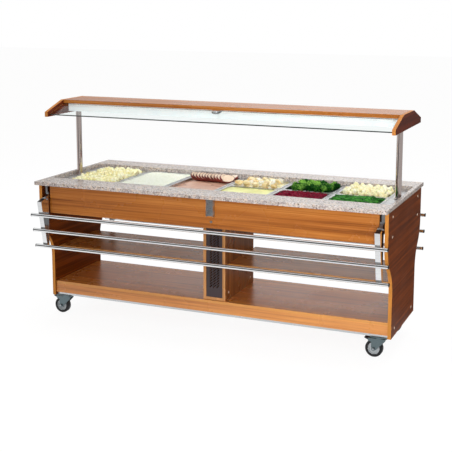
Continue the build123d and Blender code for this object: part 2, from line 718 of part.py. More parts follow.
# Canopy
def glass_line():
    """Middle of a pane in Y and Z: its upper and lower ends on the guests' side."""
    run = CANOPY_HALF_DEPTH - CANOPY_ROOF_HALF_DEPTH
    slope = (CANOPY_TOP - CANOPY_NOSE_TOP) / run
    upper = CANOPY_ROOF_HALF_DEPTH + GLASS_ROOF_GAP
    lower = CANOPY_HALF_DEPTH - GLASS_FRONT_SETBACK
    start = CANOPY_TOP - GLASS_DROP - GLASS_THICKNESS / 2
    fall = slope * (lower - CANOPY_ROOF_HALF_DEPTH)
    return (-upper, start - slope * GLASS_ROOF_GAP), (-lower, start - fall)


def glass_face(thickness, extra=0.0):
    """The section of a pane, or of the groove that takes it."""
    upper, lower = glass_line()
    length = hypot(upper[0] - lower[0], upper[1] - lower[1])
    tilt = degrees(atan2(upper[1] - lower[1], upper[0] - lower[0]))
    middle = ((upper[0] + lower[0]) / 2, (upper[1] + lower[1]) / 2)
    return Pos(*middle) * Rot(0, 0, tilt) * Rectangle(length + 2 * extra, thickness)


def canopy_end(sign):
    outline = Polyline(
        (-CANOPY_HALF_DEPTH, CANOPY_NOSE_BOTTOM),
        (-CANOPY_HALF_DEPTH, CANOPY_NOSE_TOP),
        (-CANOPY_ROOF_HALF_DEPTH, CANOPY_TOP),
        (CANOPY_ROOF_HALF_DEPTH, CANOPY_TOP),
        (CANOPY_HALF_DEPTH, CANOPY_NOSE_TOP),
        (CANOPY_HALF_DEPTH, CANOPY_NOSE_BOTTOM),
        close=True,
    )
    limits = sorted((sign * CANOPY_INNER, sign * HALF_LENGTH))
    end = side_profile(make_face(outline), limits)
    groove = side_profile(
        glass_face(GLASS_THICKNESS + 2 * GLASS_CLEARANCE, GLASS_CLEARANCE),
        sorted((sign * CANOPY_INNER, sign * (CANOPY_INNER + GLASS_GROOVE_DEPTH))),
    )
    return end - groove - other_side(groove)


def canopy_roof():
    return block(
        (-CANOPY_INNER, CANOPY_INNER),
        (-CANOPY_ROOF_HALF_DEPTH, CANOPY_ROOF_HALF_DEPTH),
        (ROOF_BOTTOM, CANOPY_TOP),
    )


def canopy_glass():
    reach = CANOPY_INNER + GLASS_GROOVE_DEPTH - GLASS_CLEARANCE
    pane = side_profile(glass_face(GLASS_THICKNESS), (-reach, reach))
    return Compound(children=[pane, other_side(pane)])


def light_housing():
    """A folded channel between the canopy ends, open below but for its lips."""
    half = LIGHT_HALF_WIDTH
    channel = block((-CANOPY_INNER, CANOPY_INNER), (-half, half), (LIGHT_BOTTOM, ROOF_BOTTOM))
    channel -= block(
        (-CANOPY_INNER + LIGHT_SHEET, CANOPY_INNER - LIGHT_SHEET),
        (-half + LIGHT_SHEET, half - LIGHT_SHEET),
        (LIGHT_BOTTOM + LIGHT_SHEET, ROOF_BOTTOM - LIGHT_SHEET),
    )
    mouth = half - LIGHT_SHEET - LIGHT_LIP
    reach = CANOPY_INNER - LIGHT_END
    return channel - block((-reach, reach), (-mouth, mouth), (LIGHT_BOTTOM, LIGHT_BOTTOM + LIGHT_SHEET))


def light_diffuser():
    """A sheet that lies on the channel's lips."""
    half = LIGHT_HALF_WIDTH - LIGHT_SHEET - DIFFUSER_CLEARANCE
    reach = CANOPY_INNER - LIGHT_END + LIGHT_LIP
    base = LIGHT_BOTTOM + LIGHT_SHEET
    return block((-reach, reach), (-half, half), (base, base + DIFFUSER_THICKNESS))


def glass_clip():
    """A half-round clamp that grips the pane's upper edge and is screwed under the roof."""
    upper, lower = glass_line()
    tilt = degrees(atan2(upper[1] - lower[1], upper[0] - lower[0]))
    grip = GLASS_THICKNESS + 2 * GLASS_CLEARANCE
    seat = Plane(
        origin=(CLIP_OFFSET, upper[0], upper[1]),
        x_dir=(1, 0, 0),
        z_dir=(0, -sin(radians(tilt)), cos(radians(tilt))),
    )
    thickness = grip + 2 * CLIP_WALL
    body = extrude(seat * Circle(CLIP_RADIUS), amount=thickness / 2, both=True)
    tongue = block(
        (CLIP_OFFSET - CLIP_RADIUS, CLIP_OFFSET + CLIP_RADIUS),
        (-CANOPY_ROOF_HALF_DEPTH - GLASS_ROOF_GAP, -CANOPY_ROOF_HALF_DEPTH + CLIP_TONGUE),
        (ROOF_BOTTOM - CLIP_WALL, ROOF_BOTTOM),
    )
    far = 2 * CANOPY_HALF_DEPTH
    under = block((-far, far), (-far, -LIGHT_HALF_WIDTH - SIDE_PLAY), (LIGHT_BOTTOM - far, ROOF_BOTTOM))
    ahead = block((-far, far), (-far, -CANOPY_ROOF_HALF_DEPTH), (LIGHT_BOTTOM - far, ROOF_BOTTOM + far))
    body = body & ahead
    body = (body & under) + tongue
    slot = side_profile(glass_face(grip, GLASS_CLEARANCE), (-far, far))
    return body - slot


def glass_clips():
    clip = glass_clip()
    return Compound(children=[clip, other_side(clip)])


# Tray slides. A place on the hanging slide is given by its distance down the face and its distance out
# from the pivot, square to the face.
def slide_point(down, out):
    lean = radians(TRAY_LEAN)
    y = -ARM_PIVOT_REACH + down * sin(lean) - out * cos(lean)
    z = ARM_PIVOT_HEIGHT - down * cos(lean) - out * sin(lean)
    return y, z


def arm_outline(inset):
    """The arm's side, drawn in by the sheet on its front, top and foot when inset is not zero."""
    eye = ARM_EYE_RADIUS
    face = TRAY_FACE_OFFSET - inset
    foot_down = TRAY_TUBE_DROPS[-1] + ARM_FOOT_LENGTH
    top_down = -ARM_TOP_RISE
    return [
        slide_point(top_down, face),
        slide_point(foot_down - inset, face),
        slide_point(foot_down - inset, TRAY_FACE_OFFSET - ARM_FOOT_DEPTH),
        slide_point(0, -eye),
        slide_point(-eye, 0),
    ]


def tray_arm(x_middle):
    """A folded channel, open to the rear and at the top, with a round eye on each side."""
    half = ARM_WIDTH / 2
    pivot = (-ARM_PIVOT_REACH, ARM_PIVOT_HEIGHT)
    side = make_face(Polyline(*arm_outline(0), close=True)) + Pos(*pivot) * Circle(ARM_EYE_RADIUS)
    body = side_profile(side, (x_middle - half, x_middle + half))
    far = 2 * ARM_PIVOT_REACH
    lean = radians(TRAY_LEAN)
    deep = TRAY_FACE_OFFSET - ARM_SHEET
    foot_down = TRAY_TUBE_DROPS[-1] + ARM_FOOT_LENGTH - ARM_SHEET
    room = make_face(
        Polyline(
            slide_point(-far, deep),
            slide_point(foot_down, deep),
            slide_point(foot_down, -far),
            slide_point(-far, -far),
            close=True,
        )
    )
    inner = half - ARM_SHEET
    body -= side_profile(room, (x_middle - inner, x_middle + inner))
    bore = HINGE_PIN + 2 * RUNNING_FIT
    return body - rod_x(bore, (x_middle - half, x_middle + half), *pivot)


def tray_frame():
    """Three tubes welded across the two arms."""
    frame = tray_arm(-ARM_MIDDLE) + tray_arm(ARM_MIDDLE)
    reach = TRAY_HALF_LENGTH - TRAY_PLUG
    bore = TRAY_TUBE_DIAMETER - 2 * TRAY_TUBE_WALL
    sink = ARM_SHEET / 4
    for down in TRAY_TUBE_DROPS:
        y, z = slide_point(down, TRAY_FACE_OFFSET + TRAY_TUBE_DIAMETER / 2 - sink)
        frame += rod_x(TRAY_TUBE_DIAMETER, (-reach, reach), y, z)
    for down in TRAY_TUBE_DROPS:
        y, z = slide_point(down, TRAY_FACE_OFFSET + TRAY_TUBE_DIAMETER / 2 - sink)
        frame -= rod_x(bore, (-reach, reach), y, z)
    return frame


def tray_plugs():
    """Plugs in the tube ends and a cover over the front of each arm's top."""
    plugs = []
    reach = TRAY_HALF_LENGTH - TRAY_PLUG
    bore = TRAY_TUBE_DIAMETER - 2 * TRAY_TUBE_WALL
    sink = ARM_SHEET / 4
    for down in TRAY_TUBE_DROPS:
        y, z = slide_point(down, TRAY_FACE_OFFSET + TRAY_TUBE_DIAMETER / 2 - sink)
        for sign in (-1, 1):
            head = rod_x(TRAY_TUBE_DIAMETER, sorted((sign * reach, sign * TRAY_HALF_LENGTH)), y, z)
            rims = head.edges().filter_by(GeomType.CIRCLE).sort_by(Axis.X)
            head = fillet(rims[0 if sign < 0 else -1], TRAY_PLUG / 2)
            stem = rod_x(bore, sorted((sign * reach, sign * (reach - TRAY_PLUG_DEPTH))), y, z)
            plugs.append(head + stem)
    inner = ARM_WIDTH / 2 - ARM_SHEET
    near = TRAY_FACE_OFFSET - ARM_CAP_LENGTH
    deep = TRAY_FACE_OFFSET - ARM_SHEET
    for x in (-ARM_MIDDLE, ARM_MIDDLE):
        section = Polyline(
            slide_point(-ARM_TOP_RISE, deep),
            slide_point(ARM_CAP_HEIGHT - ARM_TOP_RISE, deep),
            slide_point(ARM_CAP_HEIGHT - ARM_TOP_RISE, near),
            slide_point(-ARM_TOP_RISE, near),
            close=True,
        )
        plugs.append(side_profile(make_face(section), (x - inner, x + inner)))
    return Compound(children=plugs)


def hinge_bracket(x_middle):
    """A cranked bracket under the slab: a foot, a strip beside the apron, a neck and the pivot lug."""
    sign = 1 if x_middle > 0 else -1
    pivot = (-ARM_PIVOT_REACH, ARM_PIVOT_HEIGHT)
    strip_front = -APRON_FACE - HINGE_STRIP
    lug_half = HINGE_LUG_WIDTH / 2
    elbow_height = ARM_PIVOT_HEIGHT + ARM_PIVOT_REACH - APRON_FACE
    neck_half = HINGE_STRIP * 0.75
    neck = make_face(
        Polyline(
            (pivot[0] - neck_half, pivot[1] + neck_half),
            (pivot[0] + neck_half, pivot[1] - neck_half),
            (-APRON_FACE, elbow_height - 2 * neck_half),
            (-APRON_FACE, elbow_height + neck_half),
            (strip_front, elbow_height + neck_half),
            (strip_front, elbow_height - neck_half / 2),
            close=True,
        )
    )
    lug = neck + Pos(*pivot) * Circle(HINGE_LUG_RADIUS)
    bracket = side_profile(lug, (x_middle - lug_half, x_middle + lug_half))
    strip_middle = x_middle + sign * HINGE_STRIP_SHIFT
    strip_half = HINGE_STRIP_WIDTH / 2
    strip = block(
        (strip_middle - strip_half, strip_middle + strip_half),
        (strip_front, -APRON_FACE),
        (elbow_height, SLAB_BOTTOM),
    )
    gap_middle = sign * (PANEL_INNER + APRON_HALF_LENGTH) / 2
    foot_half = APRON_END_GAP / 2 - SIDE_PLAY
    foot = block(
        (gap_middle - foot_half, gap_middle + foot_half),
        (strip_front, strip_front + HINGE_FOOT),
        (SLAB_BOTTOM - HINGE_FOOT_THICKNESS, SLAB_BOTTOM),
    )
    reach = ARM_WIDTH / 2 + HINGE_FOOT_THICKNESS
    collar = LUG_INNER_HALF - SIDE_PLAY
    pin = rod_x(HINGE_PIN, (x_middle - reach, x_middle + reach), *pivot)
    pin += rod_x(HINGE_PIN * 1.6, (x_middle - collar, x_middle + collar), *pivot)
    return bracket + strip + foot + pin


def catch_bracket():
    """A slotted channel on the apron that holds the raised slide's stay, with one bolt head below it."""
    left = CATCH_MIDDLE - CATCH_WIDTH / 2
    right = CATCH_MIDDLE + CATCH_WIDTH / 2
    bottom = CATCH_TOP - CATCH_HEIGHT
    channel = block((left, right), (-APRON_FACE - CATCH_DEPTH, -APRON_FACE), (bottom, CATCH_TOP))
    channel -= block(
        (left + CATCH_SHEET, right - CATCH_SHEET),
        (-APRON_FACE - CATCH_DEPTH, -APRON_FACE - CATCH_SHEET),
        (bottom, CATCH_TOP),
    )
    middle = CATCH_TOP - CATCH_HEIGHT / 2
    slot_front = -APRON_FACE - CATCH_DEPTH * 0.7
    for offset in (-1, 1):
        centre = middle + offset * CATCH_SLOT_PITCH / 2
        channel -= block(
            (left, right),
            (slot_front, slot_front + CATCH_SLOT_DEPTH),
            (centre - CATCH_SLOT_HEIGHT / 2, centre + CATCH_SLOT_HEIGHT / 2),
        )
    head = (-APRON_FACE - COVER_HEIGHT, -APRON_FACE)
    bolt = rod_y(COVER_DIAMETER, CATCH_MIDDLE, head, bottom - CATCH_BOLT_DROP)
    return channel, bolt


def tray_brackets():
    channel, bolt = catch_bracket()
    front = [hinge_bracket(-ARM_MIDDLE), hinge_bracket(ARM_MIDDLE), channel, bolt]
    return Compound(children=front + [other_side(piece) for piece in front])


# Castors. The fork trails its wheel towards -X.
def castor_plate(x, y):
    plate = block(
        (x - PLATE_LENGTH / 2, x + PLATE_LENGTH / 2),
        (y - PLATE_WIDTH / 2, y + PLATE_WIDTH / 2),
        (CASTOR_HEIGHT - PLATE_THICKNESS, CASTOR_HEIGHT),
    )
    plate = fillet(plate.edges().filter_by(Axis.Z), PLATE_THICKNESS)
    bore = KINGPIN_DIAMETER + 2 * RUNNING_FIT
    return plate - rod_z(bore, x, y, (CASTOR_HEIGHT - PLATE_THICKNESS, CASTOR_HEIGHT))


def castor_fork(x, y, braked):
    crown_bottom = WHEEL_DIAMETER + FORK_GAP_OVER_WHEEL
    crown_top = crown_bottom + FORK_CROWN_SHEET
    race_top = CASTOR_HEIGHT - PLATE_THICKNESS - SIDE_PLAY
    inner = FORK_INNER_HALF
    outer = inner + FORK_SHEET
    hub = -CASTOR_TRAIL
    eye = FORK_EYE_RADIUS
    away = hypot(FORK_FRONT - hub, crown_bottom - eye / 2 - WHEEL_CENTRE)
    ux = (FORK_FRONT - hub) / away
    uz = (crown_bottom - eye / 2 - WHEEL_CENTRE) / away
    back = -(PEDAL_PIVOT_BACK + PEDAL_EAR) if braked else -(FORK_BACK + PEDAL_EAR)
    skirt = PEDAL_PIVOT_HEIGHT - PEDAL_EAR
    outline = Polyline(
        (FORK_FRONT, crown_top),
        (FORK_FRONT, crown_bottom - eye / 2),
        (hub + uz * eye, WHEEL_CENTRE - ux * eye),
        (hub, WHEEL_CENTRE),
        (hub - eye, WHEEL_CENTRE),
        (hub - eye, skirt - eye / 2),
        (back, skirt),
        (back, crown_top),
        close=True,
    )
    leg = make_face(outline) + Pos(hub, WHEEL_CENTRE) * Circle(eye)
    fork = front_profile(leg, (-outer, -inner)) + front_profile(leg, (inner, outer))
    fork += block((-FORK_BACK, FORK_FRONT), (-outer, outer), (crown_bottom, crown_top))
    fork += rod_z(RACE_DIAMETER, 0, 0, (crown_top, race_top))
    fork += rod_z(KINGPIN_DIAMETER, 0, 0, (crown_top, CASTOR_HEIGHT + PLATE_THICKNESS / 2))
    fork += rod_y(AXLE_DIAMETER, hub, (-outer, outer), WHEEL_CENTRE)
    for side in (-1, 1):
        head = sorted((side * outer, side * (outer + AXLE_HEAD_HEIGHT)))
        fork += rod_y(AXLE_HEAD_DIAMETER, hub, head, WHEEL_CENTRE)
    if braked:
        fork += rod_y(PEDAL_PIN, -PEDAL_PIVOT_BACK, (-outer, outer), PEDAL_PIVOT_HEIGHT)
    return Pos(x, y, 0) * fork


def castor_tyre(x, y):
    tyre = Cylinder(WHEEL_DIAMETER / 2, WHEEL_WIDTH)
    tyre = fillet(tyre.edges().filter_by(GeomType.CIRCLE), WHEEL_SHOULDER)
    tyre -= Cylinder(RIM_DIAMETER / 2, WHEEL_WIDTH)
    return Pos(x - CASTOR_TRAIL, y, WHEEL_CENTRE) * Rot(90, 0, 0) * tyre


def castor_rim(x, y):
    """A dished disc between a lip and a hub."""
    rim = Cylinder(RIM_DIAMETER / 2, RIM_WIDTH)
    dish = Cylinder(RIM_DIAMETER / 2 - RIM_LIP, RIM_DISH)
    for side in (-1, 1):
        rim -= Pos(0, 0, side * (RIM_WIDTH - RIM_DISH) / 2) * dish
    rim += Cylinder(HUB_DIAMETER / 2, HUB_WIDTH)
    rim -= Cylinder(AXLE_DIAMETER / 2 + RUNNING_FIT, HUB_WIDTH)
    return Pos(x - CASTOR_TRAIL, y, WHEEL_CENTRE) * Rot(90, 0, 0) * rim


def castor_pedal(x, y):
    """A lever between the fork's ears, with a toe plate and a shoe that swings onto the tread."""
    pivot = (-PEDAL_PIVOT_BACK, PEDAL_PIVOT_HEIGHT)
    half = FORK_INNER_HALF - SIDE_PLAY
    tip = (-PEDAL_TIP, PEDAL_TIP_HEIGHT)
    rise = PEDAL_THICKNESS
    lever = make_face(
        Polyline(
            (pivot[0] + PEDAL_BOSS_RADIUS * 0.6, pivot[1] + PEDAL_BOSS_RADIUS * 0.8),
            (tip[0] + 2 * rise, tip[1]),
            tip,
            (tip[0], tip[1] - rise),
            (pivot[0] - PEDAL_BOSS_RADIUS * 0.6, pivot[1] - PEDAL_BOSS_RADIUS * 0.8),
            close=True,
        )
    )
    to_wheel = degrees(atan2(WHEEL_CENTRE - pivot[1], PEDAL_PIVOT_BACK - CASTOR_TRAIL))
    lead = radians(to_wheel - PEDAL_SHOE_LEAD)
    shoe = (pivot[0] + PEDAL_SHOE_REACH * cos(lead), pivot[1] + PEDAL_SHOE_REACH * sin(lead))
    side = lever + Pos(*pivot) * Circle(PEDAL_BOSS_RADIUS) + Pos(*shoe) * Circle(PEDAL_SHOE_RADIUS)
    pedal = front_profile(side, (-half, half))
    bore = PEDAL_PIN + 2 * RUNNING_FIT
    return Pos(x, y, 0) * (pedal - rod_y(bore, pivot[0], (-half, half), pivot[1]))


def castors():
    places = {
        "front_left": (-CASTOR_X, -CASTOR_SPREAD, True),
        "front_right": (CASTOR_X, -CASTOR_SPREAD, True),
        "rear_left": (-CASTOR_X, CASTOR_SPREAD, False),
        "rear_right": (CASTOR_X, CASTOR_SPREAD, False),
    }
    plates = []
    for name, (x, y, braked) in places.items():
        plates.append(castor_plate(x, y))
        parts[f"castor_fork_{name}"] = castor_fork(x, y, braked)
        parts[f"castor_tyre_{name}"] = castor_tyre(x, y)
        parts[f"castor_rim_{name}"] = castor_rim(x, y)
        if braked:
            parts[f"brake_pedal_{name}"] = castor_pedal(x, y)
    parts["castor_plates"] = Compound(children=plates)


def pans():
    for number, x in enumerate(WELL_CENTRES, start=1):
        if number <= FULL_PANS:
            parts[f"pan_{number}"] = food_pan(x, 0, PAN_LENGTH)
        else:
            half = (PAN_LENGTH - HALF_PAN_GAP) / 2
            offset = (half + HALF_PAN_GAP) / 2
            parts[f"pan_{number}_front"] = food_pan(x, -offset, half)
            parts[f"pan_{number}_rear"] = food_pan(x, offset, half)


def build():
    parts["side_panel_left"] = end_panel(-1)
    parts["side_panel_right"] = end_panel(1)
    parts["counter_slab"] = counter_slab()
    parts["front_apron"] = apron()
    parts["rear_apron"] = other_side(apron())
    parts["column_boards"] = column_boards()
    parts["column_grille"] = column_grille()
    parts["column_rear_cover"] = column_rear_cover()
    parts["shelf_left"] = shelf((-PANEL_INNER, COLUMN_LEFT))
    parts["shelf_right"] = shelf((COLUMN_RIGHT, PANEL_INNER))
    parts["base_shelf"] = base_shelf()
    parts["base_fascias"] = base_fascias()
    parts["base_frame"] = base_frame()
    parts["well_deck"] = well_deck()
    parts["well_tank"] = well_tank()
    parts["heating_element"] = heating_element()
    parts["drain_valve"] = drain_valve()
    parts["drain_lever"] = drain_lever()
    parts["thermostat_knob"] = thermostat_knob()
    parts["main_switch"] = rocker(SWITCH_UPPER)
    parts["light_switch"] = rocker(SWITCH_LOWER)
    parts["post_left"] = post(-1)
    parts["post_right"] = post(1)
    parts["canopy_end_left"] = canopy_end(-1)
    parts["canopy_end_right"] = canopy_end(1)
    parts["canopy_roof"] = canopy_roof()
    parts["canopy_glass"] = canopy_glass()
    parts["light_housing"] = light_housing()
    parts["light_diffuser"] = light_diffuser()
    parts["glass_clips"] = glass_clips()
    parts["tray_brackets"] = tray_brackets()
    frame = tray_frame()
    plugs = tray_plugs()
    parts["tray_slide_front"] = frame
    parts["tray_slide_rear"] = other_side(frame)
    parts["tray_slide_front_plugs"] = plugs
    parts["tray_slide_rear_plugs"] = other_side(plugs)
    parts["screw_covers"] = screw_covers()
    castors()
    pans()


build()
os.makedirs("parts", exist_ok=True)
for name, shape in parts.items():
    export_step(shape, f"parts/{name}.step")
print(len(parts), "parts written")
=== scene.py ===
"""Heated buffet cart: granite counter, filled food pans and folding tray slides, dressed round its frame."""

import logging
import math
import random
from dataclasses import dataclass
from enum import Enum

import bmesh
import bpy
from mathutils import Euler, Matrix, Vector, noise


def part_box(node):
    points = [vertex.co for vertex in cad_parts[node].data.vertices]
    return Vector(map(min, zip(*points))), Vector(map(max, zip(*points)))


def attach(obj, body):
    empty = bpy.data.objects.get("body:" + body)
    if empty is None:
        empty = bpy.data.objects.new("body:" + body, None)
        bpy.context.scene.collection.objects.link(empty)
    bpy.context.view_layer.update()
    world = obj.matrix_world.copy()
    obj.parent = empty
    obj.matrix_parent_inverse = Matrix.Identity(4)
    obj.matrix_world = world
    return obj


LOG = logging.getLogger("buffet_cart")
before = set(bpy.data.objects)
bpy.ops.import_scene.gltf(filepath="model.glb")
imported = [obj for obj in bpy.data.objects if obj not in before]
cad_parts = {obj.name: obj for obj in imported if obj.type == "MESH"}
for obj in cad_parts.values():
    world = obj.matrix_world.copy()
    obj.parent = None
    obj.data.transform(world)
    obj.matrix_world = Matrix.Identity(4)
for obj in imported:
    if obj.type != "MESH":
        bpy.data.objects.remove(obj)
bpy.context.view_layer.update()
Pair = tuple[float, float]
Triple = tuple[float, float, float]
Socket = bpy.types.NodeSocket


def tone(code: str) -> Triple:
    """A colour written as a web code, as the linear numbers that shaders take.

    Args:
        code: Six hexadecimal digits.

    Returns:
        Red, green and blue, from 0 to 1.
    """
    shares = [int(code[i:i + 2], 16) / 255 for i in (0, 2, 4)]
    return tuple(s / 12.92 if s <= 0.04045 else ((s + 0.055) / 1.055) ** 2.4 for s in shares)


def dimmed(colour: Triple, share: float, rise: float = 0.0) -> Triple:
    """A linear colour times a share, plus a little, and at most white."""
    return tuple(min(1.0, share * part + rise) for part in colour)


class Way(Enum):
    """A direction along the cart, across it or up, by its place in a vector."""

    ALONG = 0
    ACROSS = 1
    UP = 2

    def stretched(self, along: float, across: float) -> Triple:
        """Pattern scales that are small in this direction and large in the others."""
        return tuple(along if i == self.value else across for i in range(3))


class Graph:
    """The node tree of a material or of the world, with short ways to add its nodes and join them."""

    def __init__(self, name: str, world: bpy.types.World | None = None) -> None:
        """Starts an empty material, or empties the world's tree.

        Args:
            name: The material's name.
            world: The world, where the tree is its own.
        """
        self.owner = world or bpy.data.materials.new(name)
        self.owner.use_nodes = True
        self.tree = self.owner.node_tree
        self.tree.nodes.clear()

    def add(self, kind: str, inputs: dict | None = None, **settings: object) -> bpy.types.Node:
        """Adds a node.

        Args:
            kind: The node's type, without its first word Shader.
            inputs: What goes into its sockets: numbers, colours or other sockets.
            settings: The node's own options.

        Returns:
            The node.
        """
        node = self.tree.nodes.new("Shader" + kind)
        for key, value in settings.items():
            setattr(node, key, value)
        for key, value in (inputs or {}).items():
            self.feed(node.inputs[key], value)
        return node

    def feed(self, socket: Socket, value: object) -> None:
        """Joins a socket to another, or gives it a number or a colour.

        Args:
            socket: The socket.
            value: The other socket, or the number or colour.
        """
        if isinstance(value, Socket):
            self.tree.links.new(value, socket)
        elif isinstance(value, (tuple, list)) and socket.type == "RGBA":
            socket.default_value = (*value[:3], 1.0)
        else:
            socket.default_value = value

    def place(self, scale: Triple = (1, 1, 1), shift: Triple = (0, 0, 0)) -> Socket:
        """The piece's own coordinates, scaled and shifted."""
        own = self.add("NodeTexCoord").outputs["Object"]
        return self.add("NodeMapping", {"Vector": own, "Location": shift, "Scale": scale}).outputs["Vector"]

    def split(self, vector: Socket) -> list[Socket]:
        """A vector's three parts."""
        return list(self.add("NodeSeparateXYZ", {"Vector": vector}).outputs)

    def facing(self, way: Way) -> Socket:
        """How far a face's normal lies along one direction, from 0 to 1."""
        normal = self.add("NodeTexCoord").outputs["Normal"]
        return self.length(self.split(normal)[way.value])

    def clouds(
        self, vector: Socket, scale: float, detail: float = 2.0, rough: float = 0.5, twist: float = 0.0
    ) -> Socket:
        """A soft noise from 0 to 1."""
        values = {"Vector": vector, "Scale": scale, "Detail": detail, "Roughness": rough, "Distortion": twist}
        return self.add("NodeTexNoise", values).outputs["Fac"]

    def crystals(self, vector: Socket, scale: float) -> list[Socket]:
        """Three values from 0 to 1 that change from one cell of a crystal pattern to the next."""
        colour = self.add("NodeTexVoronoi", {"Vector": vector, "Scale": scale}).outputs["Color"]
        return list(self.add("NodeSeparateColor", {"Color": colour}).outputs)

    def sums(self, operation: str, a: object, b: object = 0.0, c: object = 0.0) -> Socket:
        """A Math node of that operation."""
        return self.add("NodeMath", {0: a, 1: b, 2: c}, operation=operation).outputs["Value"]

    def times(self, a: object, b: object) -> Socket:
        """A product."""
        return self.sums("MULTIPLY", a, b)

    def most(self, first: object, *others: object) -> Socket:
        """The largest of several values.

        Args:
            first: One of them.
            others: The others.

        Returns:
            The largest.
        """
        for other in others:
            first = self.sums("MAXIMUM", first, other)
        return first

    def length(self, a: object, b: float = 0.0) -> Socket:
        """How far a value is from another."""
        return self.sums("ABSOLUTE", self.sums("SUBTRACT", a, b) if b else a)

    def spread(
        self, value: Socket, low: float, high: float, to_low: float = 0.0, to_high: float = 1.0
    ) -> Socket:
        """A value's range moved to another, kept within it."""
        inputs = {"Value": value, "From Min": low, "From Max": high, "To Min": to_low, "To Max": to_high}
        return self.add("NodeMapRange", inputs).outputs["Result"]

    def ramp(self, value: Socket, stops: list[tuple[float, Triple]]) -> Socket:
        """Colours along a value.

        Args:
            value: What picks the colour, from 0 to 1.
            stops: Places and linear colours, at least two.

        Returns:
            The colour.
        """
        node = self.add("NodeValToRGB", {"Fac": value})
        marks = node.color_ramp.elements
        while len(marks) < len(stops):
            marks.new(0.5)
        for mark, (spot, colour) in zip(marks, stops):
            mark.position = spot
            mark.color = (*colour, 1.0)
        return node.outputs["Color"]

    def mix(self, share: object, a: object, b: object) -> Socket:
        """Two colours mixed.

        Args:
            share: How much of the second one there is, from 0 to 1.
            a: The first colour.
            b: The second colour.

        Returns:
            The colour between them.
        """
        node = self.add("NodeMix", data_type="RGBA")
        for index, value in ((0, share), (6, a), (7, b)):
            self.feed(node.inputs[index], value)
        return node.outputs[2]

    def bump(self, height: Socket, depth: float, strength: float) -> Socket:
        """A normal from a height.

        Args:
            height: The height, from 0 to 1.
            depth: How deep the full height is, in metres.
            strength: How much of it shows.

        Returns:
            The normal.
        """
        inputs = {"Height": height, "Distance": depth, "Strength": strength}
        return self.add("NodeBump", inputs).outputs["Normal"]

    def blend(self, share: Socket, a: bpy.types.Node, b: bpy.types.Node) -> bpy.types.Node:
        """Two surface shaders or backgrounds mixed."""
        return self.add("NodeMixShader", {0: share, 1: a.outputs[0], 2: b.outputs[0]})

    def finish(self, shader: bpy.types.Node) -> bpy.types.Material:
        """Ends a material's tree with a surface shader and returns the material."""
        self.add("NodeOutputMaterial", {"Surface": shader.outputs[0]})
        return self.owner

    def close(self, **values: object) -> bpy.types.Material:
        """Ends a material's tree with the usual surface shader.

        Args:
            values: What goes into its sockets, whose names have _ for a space.

        Returns:
            The finished material.
        """
        inputs = {key.replace("_", " "): value for key, value in values.items()}
        return self.finish(self.add("NodeBsdfPrincipled", inputs))


@dataclass(frozen=True)
class WoodLaminate:
    """Printed wood-grain laminate under a satin wear layer, with banded board edges.

    The ends of the grain are the edges, or, where faces is given, every side that doesn't face that way.
    """

    name: str
    pale: str
    middle: str
    dark: str
    grain: Way
    edge_grain: Way
    edge_tint: str = "D9A066"
    edge_share: float = 0.35
    faces: Way | None = None
    gloss: float = 0.22
    shine: float = 0.5
    streaks: Pair = (0.6, 34.0)
    lines: Pair = (2.0, 180.0)
    bands: Pair = (0.5, 6.0)
    pores: Pair = (9.0, 620.0)

    def figure(self, graph: Graph, way: Way) -> Socket:
        """The print's tone, with its streaks one way.

        Args:
            graph: The finish's tree.
            way: Where the streaks run.

        Returns:
            The tone, from dark at 0 to pale at 1.
        """
        streaks = graph.clouds(graph.place(way.stretched(*self.streaks)), 1.0, 5.0, 0.62, 0.25)
        lines = graph.clouds(graph.place(way.stretched(*self.lines), (3.1, 1.7, 5.3)), 1.0, 3.0, 0.6)
        bands = graph.clouds(graph.place(way.stretched(*self.bands), (7.7, 2.9, 0.4)), 1.0, 2.0, 0.5, 1.2)
        mixed = graph.sums("MULTIPLY_ADD", streaks, 0.58, graph.times(lines, 0.38))
        return graph.sums("MULTIPLY_ADD", bands, 0.12, mixed)

    def edges(self, graph: Graph) -> Socket:
        """Where the board's edges are.

        Args:
            graph: The finish's tree.

        Returns:
            1 on the edges, 0 on the faces.
        """
        if self.faces is None:
            return graph.spread(graph.facing(self.grain), 0.6, 0.75)
        return graph.spread(graph.facing(self.faces), 0.75, 0.6)

    def material(self) -> bpy.types.Material:
        """Builds the finish.

        Returns:
            The material.
        """
        graph = Graph(self.name)
        across = self.edges(graph)
        face = self.figure(graph, self.grain)
        edge = self.figure(graph, self.edge_grain)
        share = graph.sums("ADD", face, graph.times(graph.sums("SUBTRACT", edge, face), across))
        stops = [(0.36, tone(self.dark)), (0.52, tone(self.middle)), (0.66, tone(self.pale))]
        colour = graph.ramp(share, stops)
        pores = graph.clouds(graph.place(self.grain.stretched(*self.pores), (1.3, 8.1, 2.2)), 1.0, 2.0, 0.55)
        marks = graph.times(graph.spread(pores, 0.60, 0.72), 0.28)
        colour = graph.mix(marks, colour, tone(self.dark))
        tint = tone(self.edge_tint)
        band = graph.ramp(share, [(0.36, dimmed(tint, 0.72)), (0.60, tint)])
        colour = graph.mix(graph.times(across, self.edge_share), colour, band)
        wear = graph.clouds(graph.place(), 3.0, 4.0, 0.6)
        rough = graph.spread(wear, 0.3, 0.7, self.gloss, self.gloss + 0.1)
        normal = graph.bump(pores, 0.00008, 0.5)
        return graph.close(Base_Color=colour, Roughness=rough, Normal=normal, Specular_IOR_Level=self.shine)


